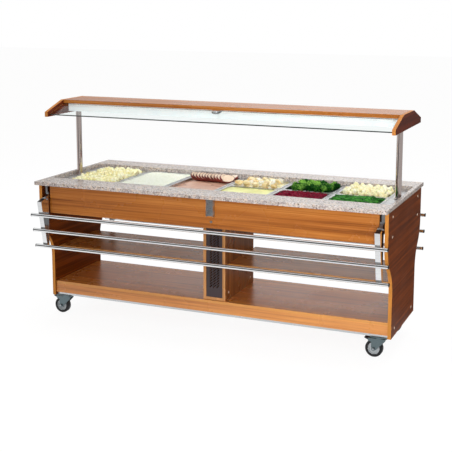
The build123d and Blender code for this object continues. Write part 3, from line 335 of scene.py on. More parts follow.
@dataclass(frozen=True)
class Granite:
    """Polished granite: pale feldspar, peach and grey crystals and dark mica."""

    name: str = "granite"
    ground: str = "B7AAA4"
    shade: str = "8C817D"
    pale: str = "CEC4BE"
    lightest: str = "E0D9D5"
    warm: str = "D8C0AA"
    grey: str = "8C8080"
    mica: str = "3A302E"
    small_grain: float = 210.0
    large_grain: float = 92.0

    def material(self) -> bpy.types.Material:
        """Builds the finish.

        Returns:
            The material.
        """
        graph = Graph(self.name)
        place = self.bent_place(graph)
        small_one, small_two, small_three = graph.crystals(place, self.small_grain)
        _, large_two, large_three = graph.crystals(place, self.large_grain)
        steps = ((0.0, self.shade), (0.35, self.ground), (0.8, self.pale), (1.0, self.lightest))
        colour = graph.ramp(small_one, [(spot, tone(code)) for spot, code in steps])
        drift = graph.clouds(graph.place(), 5.0, 3.0, 0.55)
        for share, code in (
            (graph.times(graph.spread(large_two, 0.70, 0.80), 0.65), self.warm),
            (graph.times(graph.spread(large_three, 0.80, 0.86), 0.55), self.grey),
            (graph.times(graph.spread(small_two, 0.925, 0.95), 0.85), self.mica),
            (graph.spread(drift, 0.35, 0.75, 0.0, 0.18), self.shade),
        ):
            colour = graph.mix(share, colour, tone(code))
        rough = graph.spread(small_three, 0.0, 1.0, 0.10, 0.20)
        normal = graph.bump(small_one, 0.00003, 0.4)
        return graph.close(Base_Color=colour, Roughness=rough, Normal=normal, Specular_IOR_Level=0.55)

    def bent_place(self, graph: Graph) -> Socket:
        """The piece's coordinates with a small wobble, so that the crystals have no straight sides.

        Args:
            graph: The finish's tree.

        Returns:
            The coordinates.
        """
        wobble = graph.add("NodeTexNoise", {"Vector": graph.place(), "Scale": 60.0, "Detail": 2.0})
        bent = graph.add("NodeMix", data_type="VECTOR")
        for index, value in ((0, 0.012), (4, graph.place()), (5, wobble.outputs["Color"])):
            graph.feed(bent.inputs[index], value)
        return bent.outputs[1]


@dataclass(frozen=True)
class Steel:
    """Stainless steel, zinc or brass, brushed one way, with a faint haze of handling."""

    name: str
    colour: str
    brushed: Way
    rough: float
    grain: float = 0.00002
    haze: float = 0.12

    def material(self) -> bpy.types.Material:
        """Builds the finish.

        Returns:
            The material.
        """
        graph = Graph(self.name)
        lines = graph.clouds(graph.place(self.brushed.stretched(14.0, 1500.0)), 1.0, 3.0, 0.6)
        smears = graph.clouds(graph.place(), 9.0, 4.0, 0.62, 0.4)
        haze = graph.spread(smears, 0.35, 0.75, self.rough, self.rough + self.haze)
        rough = graph.sums("ADD", haze, graph.spread(lines, 0.3, 0.7, 0.0, 0.05))
        bright = tone(self.colour)
        colour = graph.mix(graph.spread(lines, 0.35, 0.7), bright, dimmed(bright, 0.8))
        normal = graph.bump(lines, self.grain, 0.6)
        return graph.close(Base_Color=colour, Metallic=1.0, Roughness=rough, Normal=normal)


@dataclass(frozen=True)
class PaintedSheet:
    """Powder-coated sheet with a fine orange peel, and with painted shade on its sideways faces, the walls of
    its slots, where cuts names a colour.
    """

    name: str
    colour: str
    rough: float = 0.45
    peel: float = 0.00004
    # strength of a painted glow: light painted onto a sheet that is no lamp
    glow: float = 0.0
    # colour of the painted shade on the sideways faces (slot walls); empty for none
    cuts: str = ""

    def material(self) -> bpy.types.Material:
        """Builds the finish.

        Returns:
            The material.
        """
        graph = Graph(self.name)
        peel = graph.clouds(graph.place(), 900.0, 2.0, 0.5)
        dust = graph.clouds(graph.place(), 7.0, 5.0, 0.65)
        paint = tone(self.colour)
        colour = graph.mix(graph.spread(dust, 0.4, 0.75), paint, dimmed(paint, 1.18, 0.004))
        # painted shade: faces that look sideways, the slot walls, are darkened to the cuts colour
        if self.cuts:
            colour = graph.mix(graph.spread(graph.facing(Way.ACROSS), 0.6, 0.4), colour, tone(self.cuts))
        return graph.close(
            Base_Color=colour,
            Roughness=graph.spread(dust, 0.3, 0.7, self.rough - 0.05, self.rough + 0.1),
            Normal=graph.bump(peel, self.peel, 0.7),
            # painted light: the sheet glows in its own colour, though it is no lamp
            Emission_Color=paint,
            Emission_Strength=self.glow,
        )


@dataclass(frozen=True)
class MouldedPlastic:
    """Moulded plastic or rubber with a spark-eroded texture."""

    name: str
    colour: str
    rough: float = 0.5
    texture: float = 0.00005

    def material(self) -> bpy.types.Material:
        """Builds the finish.

        Returns:
            The material.
        """
        graph = Graph(self.name)
        grit = graph.clouds(graph.place(), 1400.0, 2.0, 0.6)
        marks = graph.clouds(graph.place(), 26.0, 5.0, 0.7, 0.8)
        plain = tone(self.colour)
        colour = graph.mix(graph.spread(marks, 0.52, 0.78, 0.0, 0.55), plain, dimmed(plain, 1.5, 0.006))
        rough = graph.spread(marks, 0.3, 0.75, self.rough - 0.06, self.rough + 0.12)
        return graph.close(Base_Color=colour, Roughness=rough, Normal=graph.bump(grit, self.texture, 0.6))


@dataclass(frozen=True)
class PaneGlass:
    """Clear float glass that lets lamps through, with cut edges that show dark green."""

    name: str = "pane_glass"
    tint: str = "F6FBFA"
    edge: str = "0A1C18"
    upright: Pair = (0.90, 0.80)
    band: Pair = (0.0035, 0.0021)
    bending: float = 1.18

    def material(self) -> bpy.types.Material:
        """Builds the finish.

        Returns:
            The material.
        """
        graph = Graph(self.name)
        glass = {
            "Base Color": tone(self.tint),
            "Roughness": graph.spread(graph.clouds(graph.place(), 4.0, 3.0, 0.6), 0.4, 0.8, 0.0, 0.02),
            "Transmission Weight": 1.0,
            "IOR": self.bending,
            "Specular IOR Level": 0.5,
        }
        path = graph.add("NodeLightPath")
        unseen = graph.most(path.outputs["Is Shadow Ray"], path.outputs["Is Diffuse Ray"])
        through = graph.add("NodeBsdfTransparent", {"Color": tone(self.tint)})
        body = graph.blend(unseen, graph.add("NodeBsdfPrincipled", glass), through)
        cut = {"Base Color": tone(self.edge), "Roughness": 0.15, "Coat Weight": 0.6}
        return graph.finish(graph.blend(self.edges(graph), body, graph.add("NodeBsdfPrincipled", cut)))

    def edges(self, graph: Graph) -> Socket:
        """Where the panes are cut.

        Args:
            graph: The finish's tree.

        Returns:
            1 on the panes' upright sides and on a narrow band along their outermost edges.
        """
        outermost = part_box("canopy_glass")[1].y
        reach = graph.length(graph.split(graph.place())[Way.ACROSS.value])
        rim = graph.spread(reach, outermost - self.band[0], outermost - self.band[1])
        return graph.most(graph.spread(graph.facing(Way.UP), *self.upright), rim)


@dataclass(frozen=True)
class OpalSheet:
    """An opal acrylic sheet with lamps behind it."""

    name: str = "opal_sheet"
    colour: str = "EEF4F4"
    lit_low: str = "D6E4E6"
    lit_high: str = "FBFFFF"
    glow: float = 2.0

    def material(self) -> bpy.types.Material:
        """Builds the finish.

        Returns:
            The material.
        """
        graph = Graph(self.name)
        lamps = graph.clouds(graph.place((0.8, 14.0, 1.0)), 1.0, 2.0, 0.4)
        ribs = graph.clouds(graph.place((2.0, 900.0, 900.0)), 1.0, 1.0, 0.5)
        return graph.close(
            Base_Color=tone(self.colour),
            Roughness=0.35,
            Normal=graph.bump(ribs, 0.00005, 0.5),
            Emission_Color=graph.mix(graph.spread(lamps, 0.3, 0.7), tone(self.lit_low), tone(self.lit_high)),
            Emission_Strength=self.glow,
        )


@dataclass(frozen=True)
class Stage:
    """Floor, studio light and camera.

    Floor and walls are white to the eye. Mirrors see them dimmed, apart from a bright panel and a strip.
    """

    camera_place: Triple = (2.2910, -5.4125, 1.9740)
    camera_yaw: float = 23.084
    camera_pitch: float = 9.106
    focal_pixels: float = 982.73
    picture_pixels: int = 452
    sensor: float = 36.0
    shift_up: float = -0.15
    floor_half: float = 30.0
    floor_glow: float = 1.08
    floor_share: float = 0.84
    dim: float = 0.05
    fill: float = 0.56
    ahead: Pair = (-0.9, -3.2)
    behind: Pair = (0.2, 0.7)
    beside: Pair = (1.08, 1.35)
    far_aside: Pair = (3.0, 4.2)
    far_share: float = 0.55
    strip_middle: float = 1.9
    strip_side: Pair = (0.8, 1.0)
    strip_end: Pair = (-5.0, -4.0)
    panel_middle: float = 0.25
    panel_side: Pair = (0.17, 0.23)
    wall_top: Pair = (0.85, 0.60)

    def build(self) -> None:
        """Sets everything up."""
        self.floor()
        self.world()
        self.lamps()
        self.camera()
        bpy.context.scene.view_settings.view_transform = "Standard"

    def floor(self) -> None:
        """A wide pale floor that shows the shadow and, to the camera, stays near white."""
        mesh = bpy.data.meshes.new("floor")
        shape = bmesh.new()
        bmesh.ops.create_grid(shape, x_segments=1, y_segments=1, size=self.floor_half)
        shape.to_mesh(mesh)
        shape.free()
        floor = bpy.data.objects.new("floor", mesh)
        bpy.context.scene.collection.objects.link(floor)
        graph = Graph("studio_floor")
        path = graph.add("NodeLightPath")
        paper = graph.spread(graph.clouds(graph.place(), 40.0, 3.0, 0.5), 0.3, 0.7)
        colour = graph.mix(paper, (0.80, 0.80, 0.80), (0.83, 0.83, 0.83))
        matte = graph.add("NodeBsdfDiffuse", {"Color": colour})
        dim = graph.times(self.floor_dim(graph), self.mirror_rays(graph, path))
        level = graph.sums("MULTIPLY_ADD", dim, self.dim - self.floor_glow, self.floor_glow)
        glow = graph.add("NodeEmission", {"Color": (1.0, 1.0, 1.0), "Strength": level})
        seen = graph.times(self.seen_rays(graph, path), self.floor_share)
        mesh.materials.append(graph.finish(graph.blend(seen, matte, glow)))

    def floor_dim(self, graph: Graph) -> Socket:
        """How much of the floor's dimming mirrors see at a place.

        Args:
            graph: The floor's tree.

        Returns:
            The share, from 0 to 1.
        """
        x, y, _ = graph.split(graph.place())
        ahead = graph.spread(y, *self.ahead)
        beside = graph.most(graph.spread(x, *self.beside), graph.spread(y, *self.behind))
        far = graph.spread(graph.length(x), *self.far_aside, 1.0, self.far_share)
        off_strip = graph.spread(graph.length(x, self.strip_middle), *self.strip_side)
        strip = graph.most(off_strip, graph.spread(y, *self.strip_end))
        return graph.times(graph.most(ahead, beside), graph.times(far, strip))

    def world(self) -> None:
        """White to the eye, a plain level of fill, and dim walls in mirrors."""
        world = bpy.data.worlds.new("studio")
        bpy.context.scene.world = world
        graph = Graph("studio", world)
        path = graph.add("NodeLightPath")
        dim = graph.times(self.wall_dim(graph), self.mirror_rays(graph, path))
        level = graph.sums("SUBTRACT", 1.0, graph.times(dim, 1.0 - self.dim))
        white = graph.add("NodeBackground", {"Color": (1.0, 1.0, 1.0), "Strength": level})
        fill = graph.add("NodeBackground", {"Color": (1.0, 0.99, 0.98), "Strength": self.fill})
        both = graph.blend(self.seen_rays(graph, path), fill, white)
        graph.add("NodeOutputWorld", {"Surface": both.outputs[0]})

    def wall_dim(self, graph: Graph) -> Socket:
        """How much of the walls' dimming mirrors see in a direction.

        Args:
            graph: The world's tree.

        Returns:
            The share, from 0 to 1.
        """
        x, y, z = graph.split(graph.add("NodeTexCoord").outputs["Generated"])
        off_panel = graph.spread(graph.length(x, self.panel_middle), *self.panel_side)
        front = graph.times(graph.spread(y, -0.35, -0.6), off_panel)
        side = graph.spread(graph.length(x), 0.30, 0.60, 0.0, 0.62)
        behind = graph.times(graph.spread(y, 0.0, 0.2), graph.spread(x, -0.04, 0.08, 0.0, 0.9))
        return graph.times(graph.most(front, side, behind), graph.spread(z, *self.wall_top))

    def mirror_rays(self, graph: Graph, path: bpy.types.Node) -> Socket:
        """1 for rays that come from a mirroring surface, 0 for those that passed through glass."""
        return graph.sums("SUBTRACT", path.outputs["Is Glossy Ray"], path.outputs["Is Transmission Ray"])

    def seen_rays(self, graph: Graph, path: bpy.types.Node) -> Socket:
        """1 for rays of the eye: straight, mirrored or through glass."""
        return graph.most(*(path.outputs[f"Is {kind} Ray"] for kind in ("Camera", "Glossy", "Transmission")))

    def lamps(self) -> None:
        """Two large soft panels in front, the lower one to the right, and one above."""
        self.panel("key", (1.2, -6.0, 3.9), (0.0, 0.0, 0.7), 3.0, 60.0)
        self.panel("front", (2.4, -5.4, 1.5), (0.9, 0.0, 0.5), 2.0, 19.0, 50.0)
        self.panel("top", (0.0, 0.8, 5.2), (0.0, 0.0, 0.0), 4.0, 120.0)

    def panel(
        self, name: str, place: Triple, aim: Triple, size: float, watts: float, spread: float = 180.0
    ) -> None:
        """Adds a square lamp that gives light but no mirror image.

        Args:
            name: Its name.
            place: Where it stands.
            aim: The point that it is turned to.
            size: Its side, in metres.
            watts: Its power.
            spread: How wide it shines, in degrees.
        """
        data = bpy.data.lights.new(name, "AREA")
        data.spread = math.radians(spread)
        data.shape = "SQUARE"
        data.size = size
        data.energy = watts
        lamp = bpy.data.objects.new(name, data)
        bpy.context.scene.collection.objects.link(lamp)
        lamp.location = place
        lamp.rotation_euler = (Vector(aim) - Vector(place)).to_track_quat("-Z", "Y").to_euler()
        lamp.visible_glossy = False

    def camera(self) -> None:
        """The photograph's view."""
        data = bpy.data.cameras.new("camera")
        data.sensor_width = self.sensor
        data.lens = self.focal_pixels / self.picture_pixels * self.sensor
        data.shift_y = self.shift_up
        camera = bpy.data.objects.new("camera", data)
        bpy.context.scene.collection.objects.link(camera)
        camera.location = self.camera_place
        tilt = math.radians(90.0 - self.camera_pitch)
        camera.rotation_euler = Euler((tilt, 0.0, math.radians(self.camera_yaw)))
        bpy.context.scene.camera = camera


Finish = WoodLaminate | Granite | Steel | PaintedSheet | MouldedPlastic | PaneGlass | OpalSheet
Dressing = tuple[Finish, list[str]]


@dataclass(frozen=True)
class Carcass:
    """The rigid nodes of the frame, which keep their shapes and get their finishes."""

    end_gloss: float = 0.34
    end_shine: float = 0.06
    shelf_shine: float = 0.62

    def build(self) -> None:
        """Dresses every node."""
        for finish, nodes in (*self.boards(), *self.metals(), *self.sheets(), *self.mouldings()):
            self.dress(finish.material(), nodes)

    def boards(self) -> list[Dressing]:
        """The counter's stone and the laminates, each with its nodes.

        Returns:
            Each finish with the names of its nodes.
        """
        along, across, up = Way
        ends = {"faces": along, "edge_share": 0.85, "gloss": self.end_gloss, "shine": self.end_shine}
        shelf = {"faces": up, "edge_share": 0.65, "edge_tint": "D4964A", "shine": self.shelf_shine}
        upright = {"faces": along, "edge_share": 0.7, "edge_tint": "CE9256"}
        fascia = {"shine": self.shelf_shine}
        return [
            (Granite(), ["counter_slab"]),
            (
                WoodLaminate("laminate_long", "C27C37", "A96224", "70390E", along, up),
                ["front_apron", "rear_apron", "canopy_roof"],
            ),
            (
                WoodLaminate("laminate_shelves", "D48C46", "BC7234", "84461A", along, along, **shelf),
                ["shelf_left", "shelf_right", "base_shelf"],
            ),
            (
                WoodLaminate("laminate_fascias", "D8944E", "C07A3C", "884C20", along, up, **fascia),
                ["base_fascias"],
            ),
            (
                WoodLaminate("laminate_upright", "9A5E2C", "804A1E", "582E12", up, up, **upright),
                ["column_boards"],
            ),
            # The side panels' faces are darker than their edges partly in the laminate's own tone and partly
            # as painted shade of their shaded outer sides.
            (
                WoodLaminate("laminate_ends", "8A4210", "662D06", "451C04", across, up, "CF8B42", **ends),
                ["side_panel_left", "side_panel_right"],
            ),
            # The canopy caps' faces are likewise darker partly as painted shade of their shaded sides.
            (
                WoodLaminate("laminate_caps", "7A3212", "5E230C", "401607", across, up, "D08A48", **ends),
                ["canopy_end_left", "canopy_end_right"],
            ),
        ]

    def metals(self) -> list[Dressing]:
        """The metals, each with its nodes.

        Returns:
            Each finish with the names of its nodes.
        """
        along, _, up = Way
        return [
            (
                Steel("steel_long", "D2D4D6", along, 0.22),
                ["well_deck", "well_tank", "base_frame", "glass_clips", "tray_brackets"],
            ),
            (
                Steel("steel_bright", "F2F3F4", along, 0.04, 0.000004, 0.04),
                ["tray_slide_front", "tray_slide_rear"],
            ),
            (Steel("steel_posts", "DCCDC8", up, 0.03, 0.000003, 0.03), ["post_left", "post_right"]),
            (Steel("pan_steel", "D8DADC", along, 0.2, 0.00002, 0.15), self.named("pan_")),
            (
                Steel("zinc_plate", "6C7A7E", up, 0.24, 0.00003, 0.2),
                ["castor_plates", *self.named("castor_fork")],
            ),
            (Steel("heater_tube", "7C7672", along, 0.35, 0.00003, 0.2), ["heating_element"]),
            (Steel("brass_body", "B69B63", up, 0.28, 0.00003, 0.15), ["drain_valve"]),
        ]

    def sheets(self) -> list[Dressing]:
        """The painted sheets, the opal sheet and the glass, each with its nodes.

        Returns:
            Each finish with the names of its nodes.
        """
        return [
            # the grille's slot walls take painted shade in near black
            (PaintedSheet("grille_sheet", "362A2C", cuts="040303"), ["column_grille"]),
            (PaintedSheet("dark_sheet", "2D2122"), ["column_rear_cover"]),
            # painted light: the light housing glows so that it looks lit, though it is no lamp
            (PaintedSheet("white_sheet", "EAF0F4", 0.3, glow=0.30), ["light_housing"]),
            (OpalSheet(), ["light_diffuser"]),
            (PaneGlass(), ["canopy_glass"]),
        ]

    def mouldings(self) -> list[Dressing]:
        """The plastics and the rubber, each with its nodes.

        Returns:
            Each finish with the names of its nodes.
        """
        controls = ["thermostat_knob", "main_switch", "light_switch", "drain_lever"]
        plugs = ["tray_slide_front_plugs", "tray_slide_rear_plugs"]
        black = [*self.named("brake_pedal"), *controls, *plugs]
        return [
            (MouldedPlastic("tyre_rubber", "0D0E10", 0.6, 0.0001), self.named("castor_tyre")),
            (MouldedPlastic("rim_nylon", "9A9FA2", 0.4), self.named("castor_rim")),
            (MouldedPlastic("black_plastic", "17181A", 0.42), black),
            (MouldedPlastic("cover_plastic", "D8C0AC", 0.35), ["screw_covers"]),
        ]

    def named(self, start: str) -> list[str]:
        """The nodes whose names start so."""
        return sorted(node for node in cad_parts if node.startswith(start))

    def dress(self, material: bpy.types.Material, nodes: list[str]) -> None:
        """Gives nodes a finish.

        Args:
            material: The finish.
            nodes: The nodes' names.
        """
        for node in nodes:
            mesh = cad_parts[node].data
            mesh.materials.clear()
            mesh.materials.append(material)
            LOG.info("dressed %s in %s", node, material.name)


def settle(
    name: str, shape: bmesh.types.BMesh, body: str, *finishes: bpy.types.Material, smooth: bool = True
) -> None:
    """Makes a piece of a bmesh, frees the bmesh and lets the piece ride.

    Args:
        name: The piece's name.
        shape: The finished bmesh, in the cart's frame.
        body: The CAD body that it rides on.
        finishes: Its materials, in the order of its slots.
        smooth: Whether its faces are shaded smooth.
    """
    for face in shape.faces:
        face.smooth = smooth
    mesh = bpy.data.meshes.new(name)
    for finish in finishes:
        mesh.materials.append(finish)
    shape.to_mesh(mesh)
    shape.free()
    piece = bpy.data.objects.new(name, mesh)
    bpy.context.scene.collection.objects.link(piece)
    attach(piece, body)
    LOG.info("built %s on %s, %d faces", name, body, len(mesh.polygons))


class Mould:
    """A small mesh that is repeated, each time with a tint of its own."""

    TINT = "tint"

    def __init__(self, shape: bmesh.types.BMesh) -> None:
        """Keeps a shape's mesh.

        Args:
            shape: The shape, round its own origin; it is freed.
        """
        for face in shape.faces:
            face.smooth = True
        self.mesh = bpy.data.meshes.new("mould")
        shape.to_mesh(self.mesh)
        shape.free()
        self.mesh.attributes.new(self.TINT, "FLOAT", "POINT")

    def press(self, into: bmesh.types.BMesh, place: Matrix, tint: float) -> None:
        """Adds a copy.

        Args:
            into: The bmesh that takes it.
            place: Where it goes, with its turn and size.
            tint: Its tint, from 0 to 1.
        """
        copy = self.mesh.copy()
        copy.transform(place)
        copy.attributes[self.TINT].data.foreach_set("value", [tint] * len(copy.vertices))
        into.from_mesh(copy)
        bpy.data.meshes.remove(copy)


def tinted_shape() -> bmesh.types.BMesh:
    """An empty bmesh whose vertices take a tint.

    Returns:
        The bmesh.
    """
    shape = bmesh.new()
    shape.verts.layers.float.new(Mould.TINT)
    return shape


def posed(at: Vector, turn: Euler, size: Triple, rise: float = 0.0) -> Matrix:
    """A place, raised a little, a turn and a size as one matrix."""
    return Matrix.LocRotScale(at + Vector((0.0, 0.0, rise)), turn, Vector(size))


def turned(rand: random.Random, tilt: float = math.pi, facing: float = math.pi) -> Euler:
    """A turn that tips at most so far and faces at most so far round."""
    return Euler((rand.uniform(-tilt, tilt), rand.uniform(-tilt, tilt), rand.uniform(-facing, facing)))


def rod(sides: int, radius: float, cuts: int = 0) -> bmesh.types.BMesh:
    """A closed rod along X, 2 long.

    Args:
        sides: How many sides it has.
        radius: Its radius.
        cuts: How many rings of vertices it has between its ends.

    Returns:
        The bmesh.
    """
    shape = bmesh.new()
    turn = Matrix.Rotation(math.pi / 2, 4, "Y")
    bmesh.ops.create_cone(
        shape, cap_ends=True, segments=sides, radius1=radius, radius2=radius, depth=2.0, matrix=turn
    )
    if cuts:
        lengthwise = [edge for edge in shape.edges if abs(edge.verts[0].co.x - edge.verts[1].co.x) > 1.0]
        bmesh.ops.subdivide_edges(shape, edges=lengthwise, cuts=cuts, use_grid_fill=True)
    return shape


def pebble(subdivisions: int, size: float, depth: float, seed: float) -> Mould:
    """A lumpy ball of radius 1.

    Args:
        subdivisions: How fine it is.
        size: How wide the lumps are.
        depth: How far they stand out, as a share of the radius.
        seed: Which noise.

    Returns:
        The mould.
    """
    shape = bmesh.new()
    bmesh.ops.create_icosphere(shape, subdivisions=subdivisions, radius=1.0)
    for vert in shape.verts:
        vert.co *= 1.0 + depth * noise.noise(vert.co / size + Vector((seed, seed * 1.7, -seed)))
    return Mould(shape)


def floret(bud: float, count: int, stem: float) -> Mould:
    """A head of buds of radius 1 on a short stem.

    Args:
        bud: A bud's radius.
        count: How many buds cover the head.
        stem: The stem's length.

    Returns:
        The mould.
    """
    shape = bmesh.new()
    golden = math.pi * (3 - math.sqrt(5))
    for i in range(count):
        z = 1.0 - 1.25 * (i + 0.5) / count
        ring = math.sqrt(max(0.0, 1 - z * z))
        at = Vector((ring * math.cos(golden * i), ring * math.sin(golden * i), z)) * (1.0 - 0.12 * (i % 3))
        size = bud * (1.0 + 0.25 * math.sin(i * 2.3))
        bmesh.ops.create_icosphere(shape, subdivisions=1, radius=size, matrix=Matrix.Translation(at))
    bmesh.ops.create_icosphere(shape, subdivisions=1, radius=0.85)
    length = stem + 0.6
    drop = Matrix.Translation(Vector((0, 0, -length / 2)))
    bmesh.ops.create_cone(
        shape, cap_ends=True, segments=8, radius1=0.26, radius2=0.5, depth=length, matrix=drop
    )
    return Mould(shape)


def strand(bend: float, taper: float) -> Mould:
    """A closed curved rod, 2 long before it is bent and 2 thick, for a food much thinner than long.

    Args:
        bend: How far it curves, in radians.
        taper: How thick its ends are, as a share of its middle.

    Returns:
        The mould.
    """
    shape = rod(6, taper, 4)
    radius, flatness = 2.0 / bend, 4.0
    for vert in shape.verts:
        x, y, z = vert.co
        swell = 1.0 + (1.0 / taper - 1.0) * (1.0 - x * x)
        angle = x * bend / 2
        sideways = (1 - math.cos(angle)) * radius * flatness
        vert.co = Vector((math.sin(angle) * radius, y * swell + sideways, z * swell))
    return Mould(shape)


@dataclass(frozen=True)
class Hardware:
    """Welds, nuts, screws and the marks of the controls."""

    slide_pivot: Pair = (0.404, 0.773)
    slide_lean: float = math.radians(11.0)
    slide_face: float = 0.069
    tube_drops: Triple = (0.078, 0.177, 0.282)
    arm_x: float = 1.049
    crevice: float = 0.0098
    bead_out: float = 0.0016
    bead_half: Triple = (0.0145, 0.0021, 0.0021)
    axle_x: Pair = (-1.056, 0.986)
    axle_y: float = 0.226
    axle_z: float = 0.05
    axle_end: float = 0.0290
    nut: Pair = (0.0062, 0.0030)
    cover_face: float = 0.190
    screw_x: Pair = (-0.024, 0.065)
    screw_z: tuple[float, ...] = (0.252, 0.380, 0.545, 0.674)
    screw: Pair = (0.0036, 0.0018)
    dial: Pair = (0.0205, 0.580)
    dial_step: float = 27.0
    dial_ticks: int = 11
    ticks_between: int = 5
    tick_start: float = 0.0250
    long_tick: float = 0.0030
    short_tick: float = 0.0018
    switch_z: Pair = (0.500, 0.440)
    switch_aside: float = 0.0175
    mark_up: float = 0.008
    mark_half: float = 0.0026
    ring_hole: float = 0.68
    stroke: float = 0.0005
    print_half: float = 0.0002
    print_lift: float = 0.0001
    tint: float = 0.5

    def build(self) -> None:
        """Adds every small part."""
        weld = Steel("weld_bead", "B4B0AC", Way.ALONG, 0.26, 0.00004, 0.15).material()
        fixing = Steel("fixing_steel", "B4B8BC", Way.UP, 0.22, 0.00002, 0.1).material()
        white = PaintedSheet("control_print", "D6D8D4", 0.5).material()
        ends = (("front", -1), ("rear", 1))
        for end, side in ends:
            welds = [(self.bead(), self.weld_places(side))]
            self.pressed(f"weld_beads_{end}", weld, welds, f"tray_slide_{end}")
        for end, side in ends:
            for hand, x in zip(("left", "right"), self.axle_x):
                nuts = [(self.head(6, 0.55), self.nut_places(x, side * self.axle_y))]
                self.pressed(f"axle_nuts_{end}_{hand}", fixing, nuts, f"castor_{end}_{hand}", False)
        spots = [Vector((x, self.cover_face, z)) for x in self.screw_x for z in self.screw_z]
        screws = [(self.head(18, 0.5), [self.stood(spot, 1, self.screw) for spot in spots])]
        self.pressed("cover_screws", fixing, screws, "cart")
        self.pressed("control_marks", white, self.marks(), "cart", False)

    def pressed(
        self,
        name: str,
        finish: bpy.types.Material,
        sets: list[tuple[Mould, list[Matrix]]],
        body: str,
        smooth: bool = True,
    ) -> None:
        """Makes one piece from moulds pressed at their places.

        Args:
            name: The piece's name.
            finish: Its material.
            sets: Each mould with its places.
            body: The CAD body that it rides on.
            smooth: Whether its faces are shaded smooth.
        """
        shape = tinted_shape()
        for mould, places in sets:
            for place in places:
                mould.press(shape, place, self.tint)
        settle(name, shape, body, finish, smooth=smooth)

    def stood(self, at: Vector, side: int, size: Pair) -> Matrix:
        """The place of a head of that radius and height, on a point and out to the front or the rear."""
        return posed(at, Euler((-side * math.pi / 2, 0.0, 0.0)), (size[0], *size))

    def head(self, sides: int, recess: float) -> Mould:
        """A screw or nut head of radius 1 and height 1 on the ground, with a recess in its top.

        Args:
            sides: How many sides it has.
            recess: The recess's depth.

        Returns:
            The mould.
        """
        shape = bmesh.new()
        lift = Matrix.Translation(Vector((0.0, 0.0, 0.5)))
        bmesh.ops.create_cone(
            shape, cap_ends=True, segments=sides, radius1=1.0, radius2=0.94, depth=1.0, matrix=lift
        )
        rim = [edge for edge in shape.edges if all(vert.co.z > 0.9 for vert in edge.verts)]
        bmesh.ops.bevel(
            shape, geom=rim, offset=0.14, segments=3, profile=0.5, affect="EDGES", material=-1
        )
        top = [face for face in shape.faces if face.normal.z > 0.9 and len(face.verts) == sides]
        bmesh.ops.inset_individual(shape, faces=top, thickness=0.42, depth=0.0)
        bmesh.ops.inset_individual(shape, faces=top, thickness=0.03, depth=-recess)
        return Mould(shape)

    def bead(self) -> Mould:
        """A rippled weld bead along X, 2 long and of radius 1, thinner at its ends.

        Returns:
            The mould.
        """
        shape = rod(10, 1.0, 30)
        for vert in shape.verts:
            end = max(0.0, abs(vert.co.x) - 0.9) / 0.1
            ripple = 1.0 + 0.16 * math.cos(vert.co.x * 24.0) - 0.4 * end
            vert.co.y *= ripple
            vert.co.z *= ripple
        return Mould(shape)

    def weld_places(self, side: int) -> list[Matrix]:
        """Where a slide's tubes are welded to its arms, over and under each tube.

        Args:
            side: -1 for the front slide, 1 for the rear one.

        Returns:
            The beads' places.
        """
        places = []
        out = self.slide_face + self.bead_out
        sine, cosine = math.sin(self.slide_lean), math.cos(self.slide_lean)
        for down in (drop + off for drop in self.tube_drops for off in (-self.crevice, self.crevice)):
            y = self.slide_pivot[0] - down * sine + out * cosine
            z = self.slide_pivot[1] - down * cosine - out * sine
            for x in (-self.arm_x, self.arm_x):
                places.append(posed(Vector((x, side * y, z)), Euler(), self.bead_half))
        return places

    def nut_places(self, x: float, y: float) -> list[Matrix]:
        """The two ends of a castor's axle, whose middle stands there."""
        ends = [(side, Vector((x, y + side * self.axle_end, self.axle_z))) for side in (-1, 1)]
        return [self.stood(at, side, self.nut) for side, at in ends]

    def marks(self) -> list[tuple[Mould, list[Matrix]]]:
        """The dial's ticks round the knob and the on and off marks beside the switches.

        Returns:
            A bar and a ring, each with its places.
        """
        bar = bmesh.new()
        bmesh.ops.create_cube(bar, size=2.0)
        face = self.cover_face + self.print_lift
        dial_x, dial_z = self.dial
        bars = []
        for i in range(self.dial_ticks):
            angle = math.radians(self.dial_step * i)
            length = self.short_tick if i % self.ticks_between else self.long_tick
            reach = self.tick_start + length
            at = Vector((dial_x - reach * math.sin(angle), face, dial_z - reach * math.cos(angle)))
            bars.append(posed(at, Euler((0.0, angle, 0.0)), (self.stroke, self.print_half, length)))
        rings = []
        turn = Euler((-math.pi / 2, 0.0, 0.0))
        beside = (dial_x - self.switch_aside, dial_x + self.switch_aside)
        for x, z in ((x, z) for z in self.switch_z for x in beside):
            on, off = Vector((x, face, z + self.mark_up)), Vector((x, face, z - self.mark_up))
            bars.append(posed(on, Euler(), (self.stroke, self.print_half, self.mark_half)))
            rings.append(posed(off, turn, (self.mark_half, self.mark_half, self.print_half)))
        return [(Mould(bar), bars), (self.ring(), rings)]

    def ring(self) -> Mould:
        """A flat ring round Z of outer radius 1, from height -1 to 1.

        Returns:
            The mould.
        """
        shape = bmesh.new()
        outline = ((self.ring_hole, -1), (1, -1), (1, 1), (self.ring_hole, 1))
        corners = [shape.verts.new((x, 0.0, z)) for x, z in outline]
        loop = [shape.edges.new((corners[i], corners[i - 1])) for i in range(4)]
        geom, middle, up = loop + corners, (0, 0, 0), (0, 0, 1)
        bmesh.ops.spin(shape, geom=geom, cent=middle, axis=up, angle=math.tau, steps=28, use_merge=True)
        bmesh.ops.recalc_face_normals(shape, faces=shape.faces[:])
        return Mould(shape)


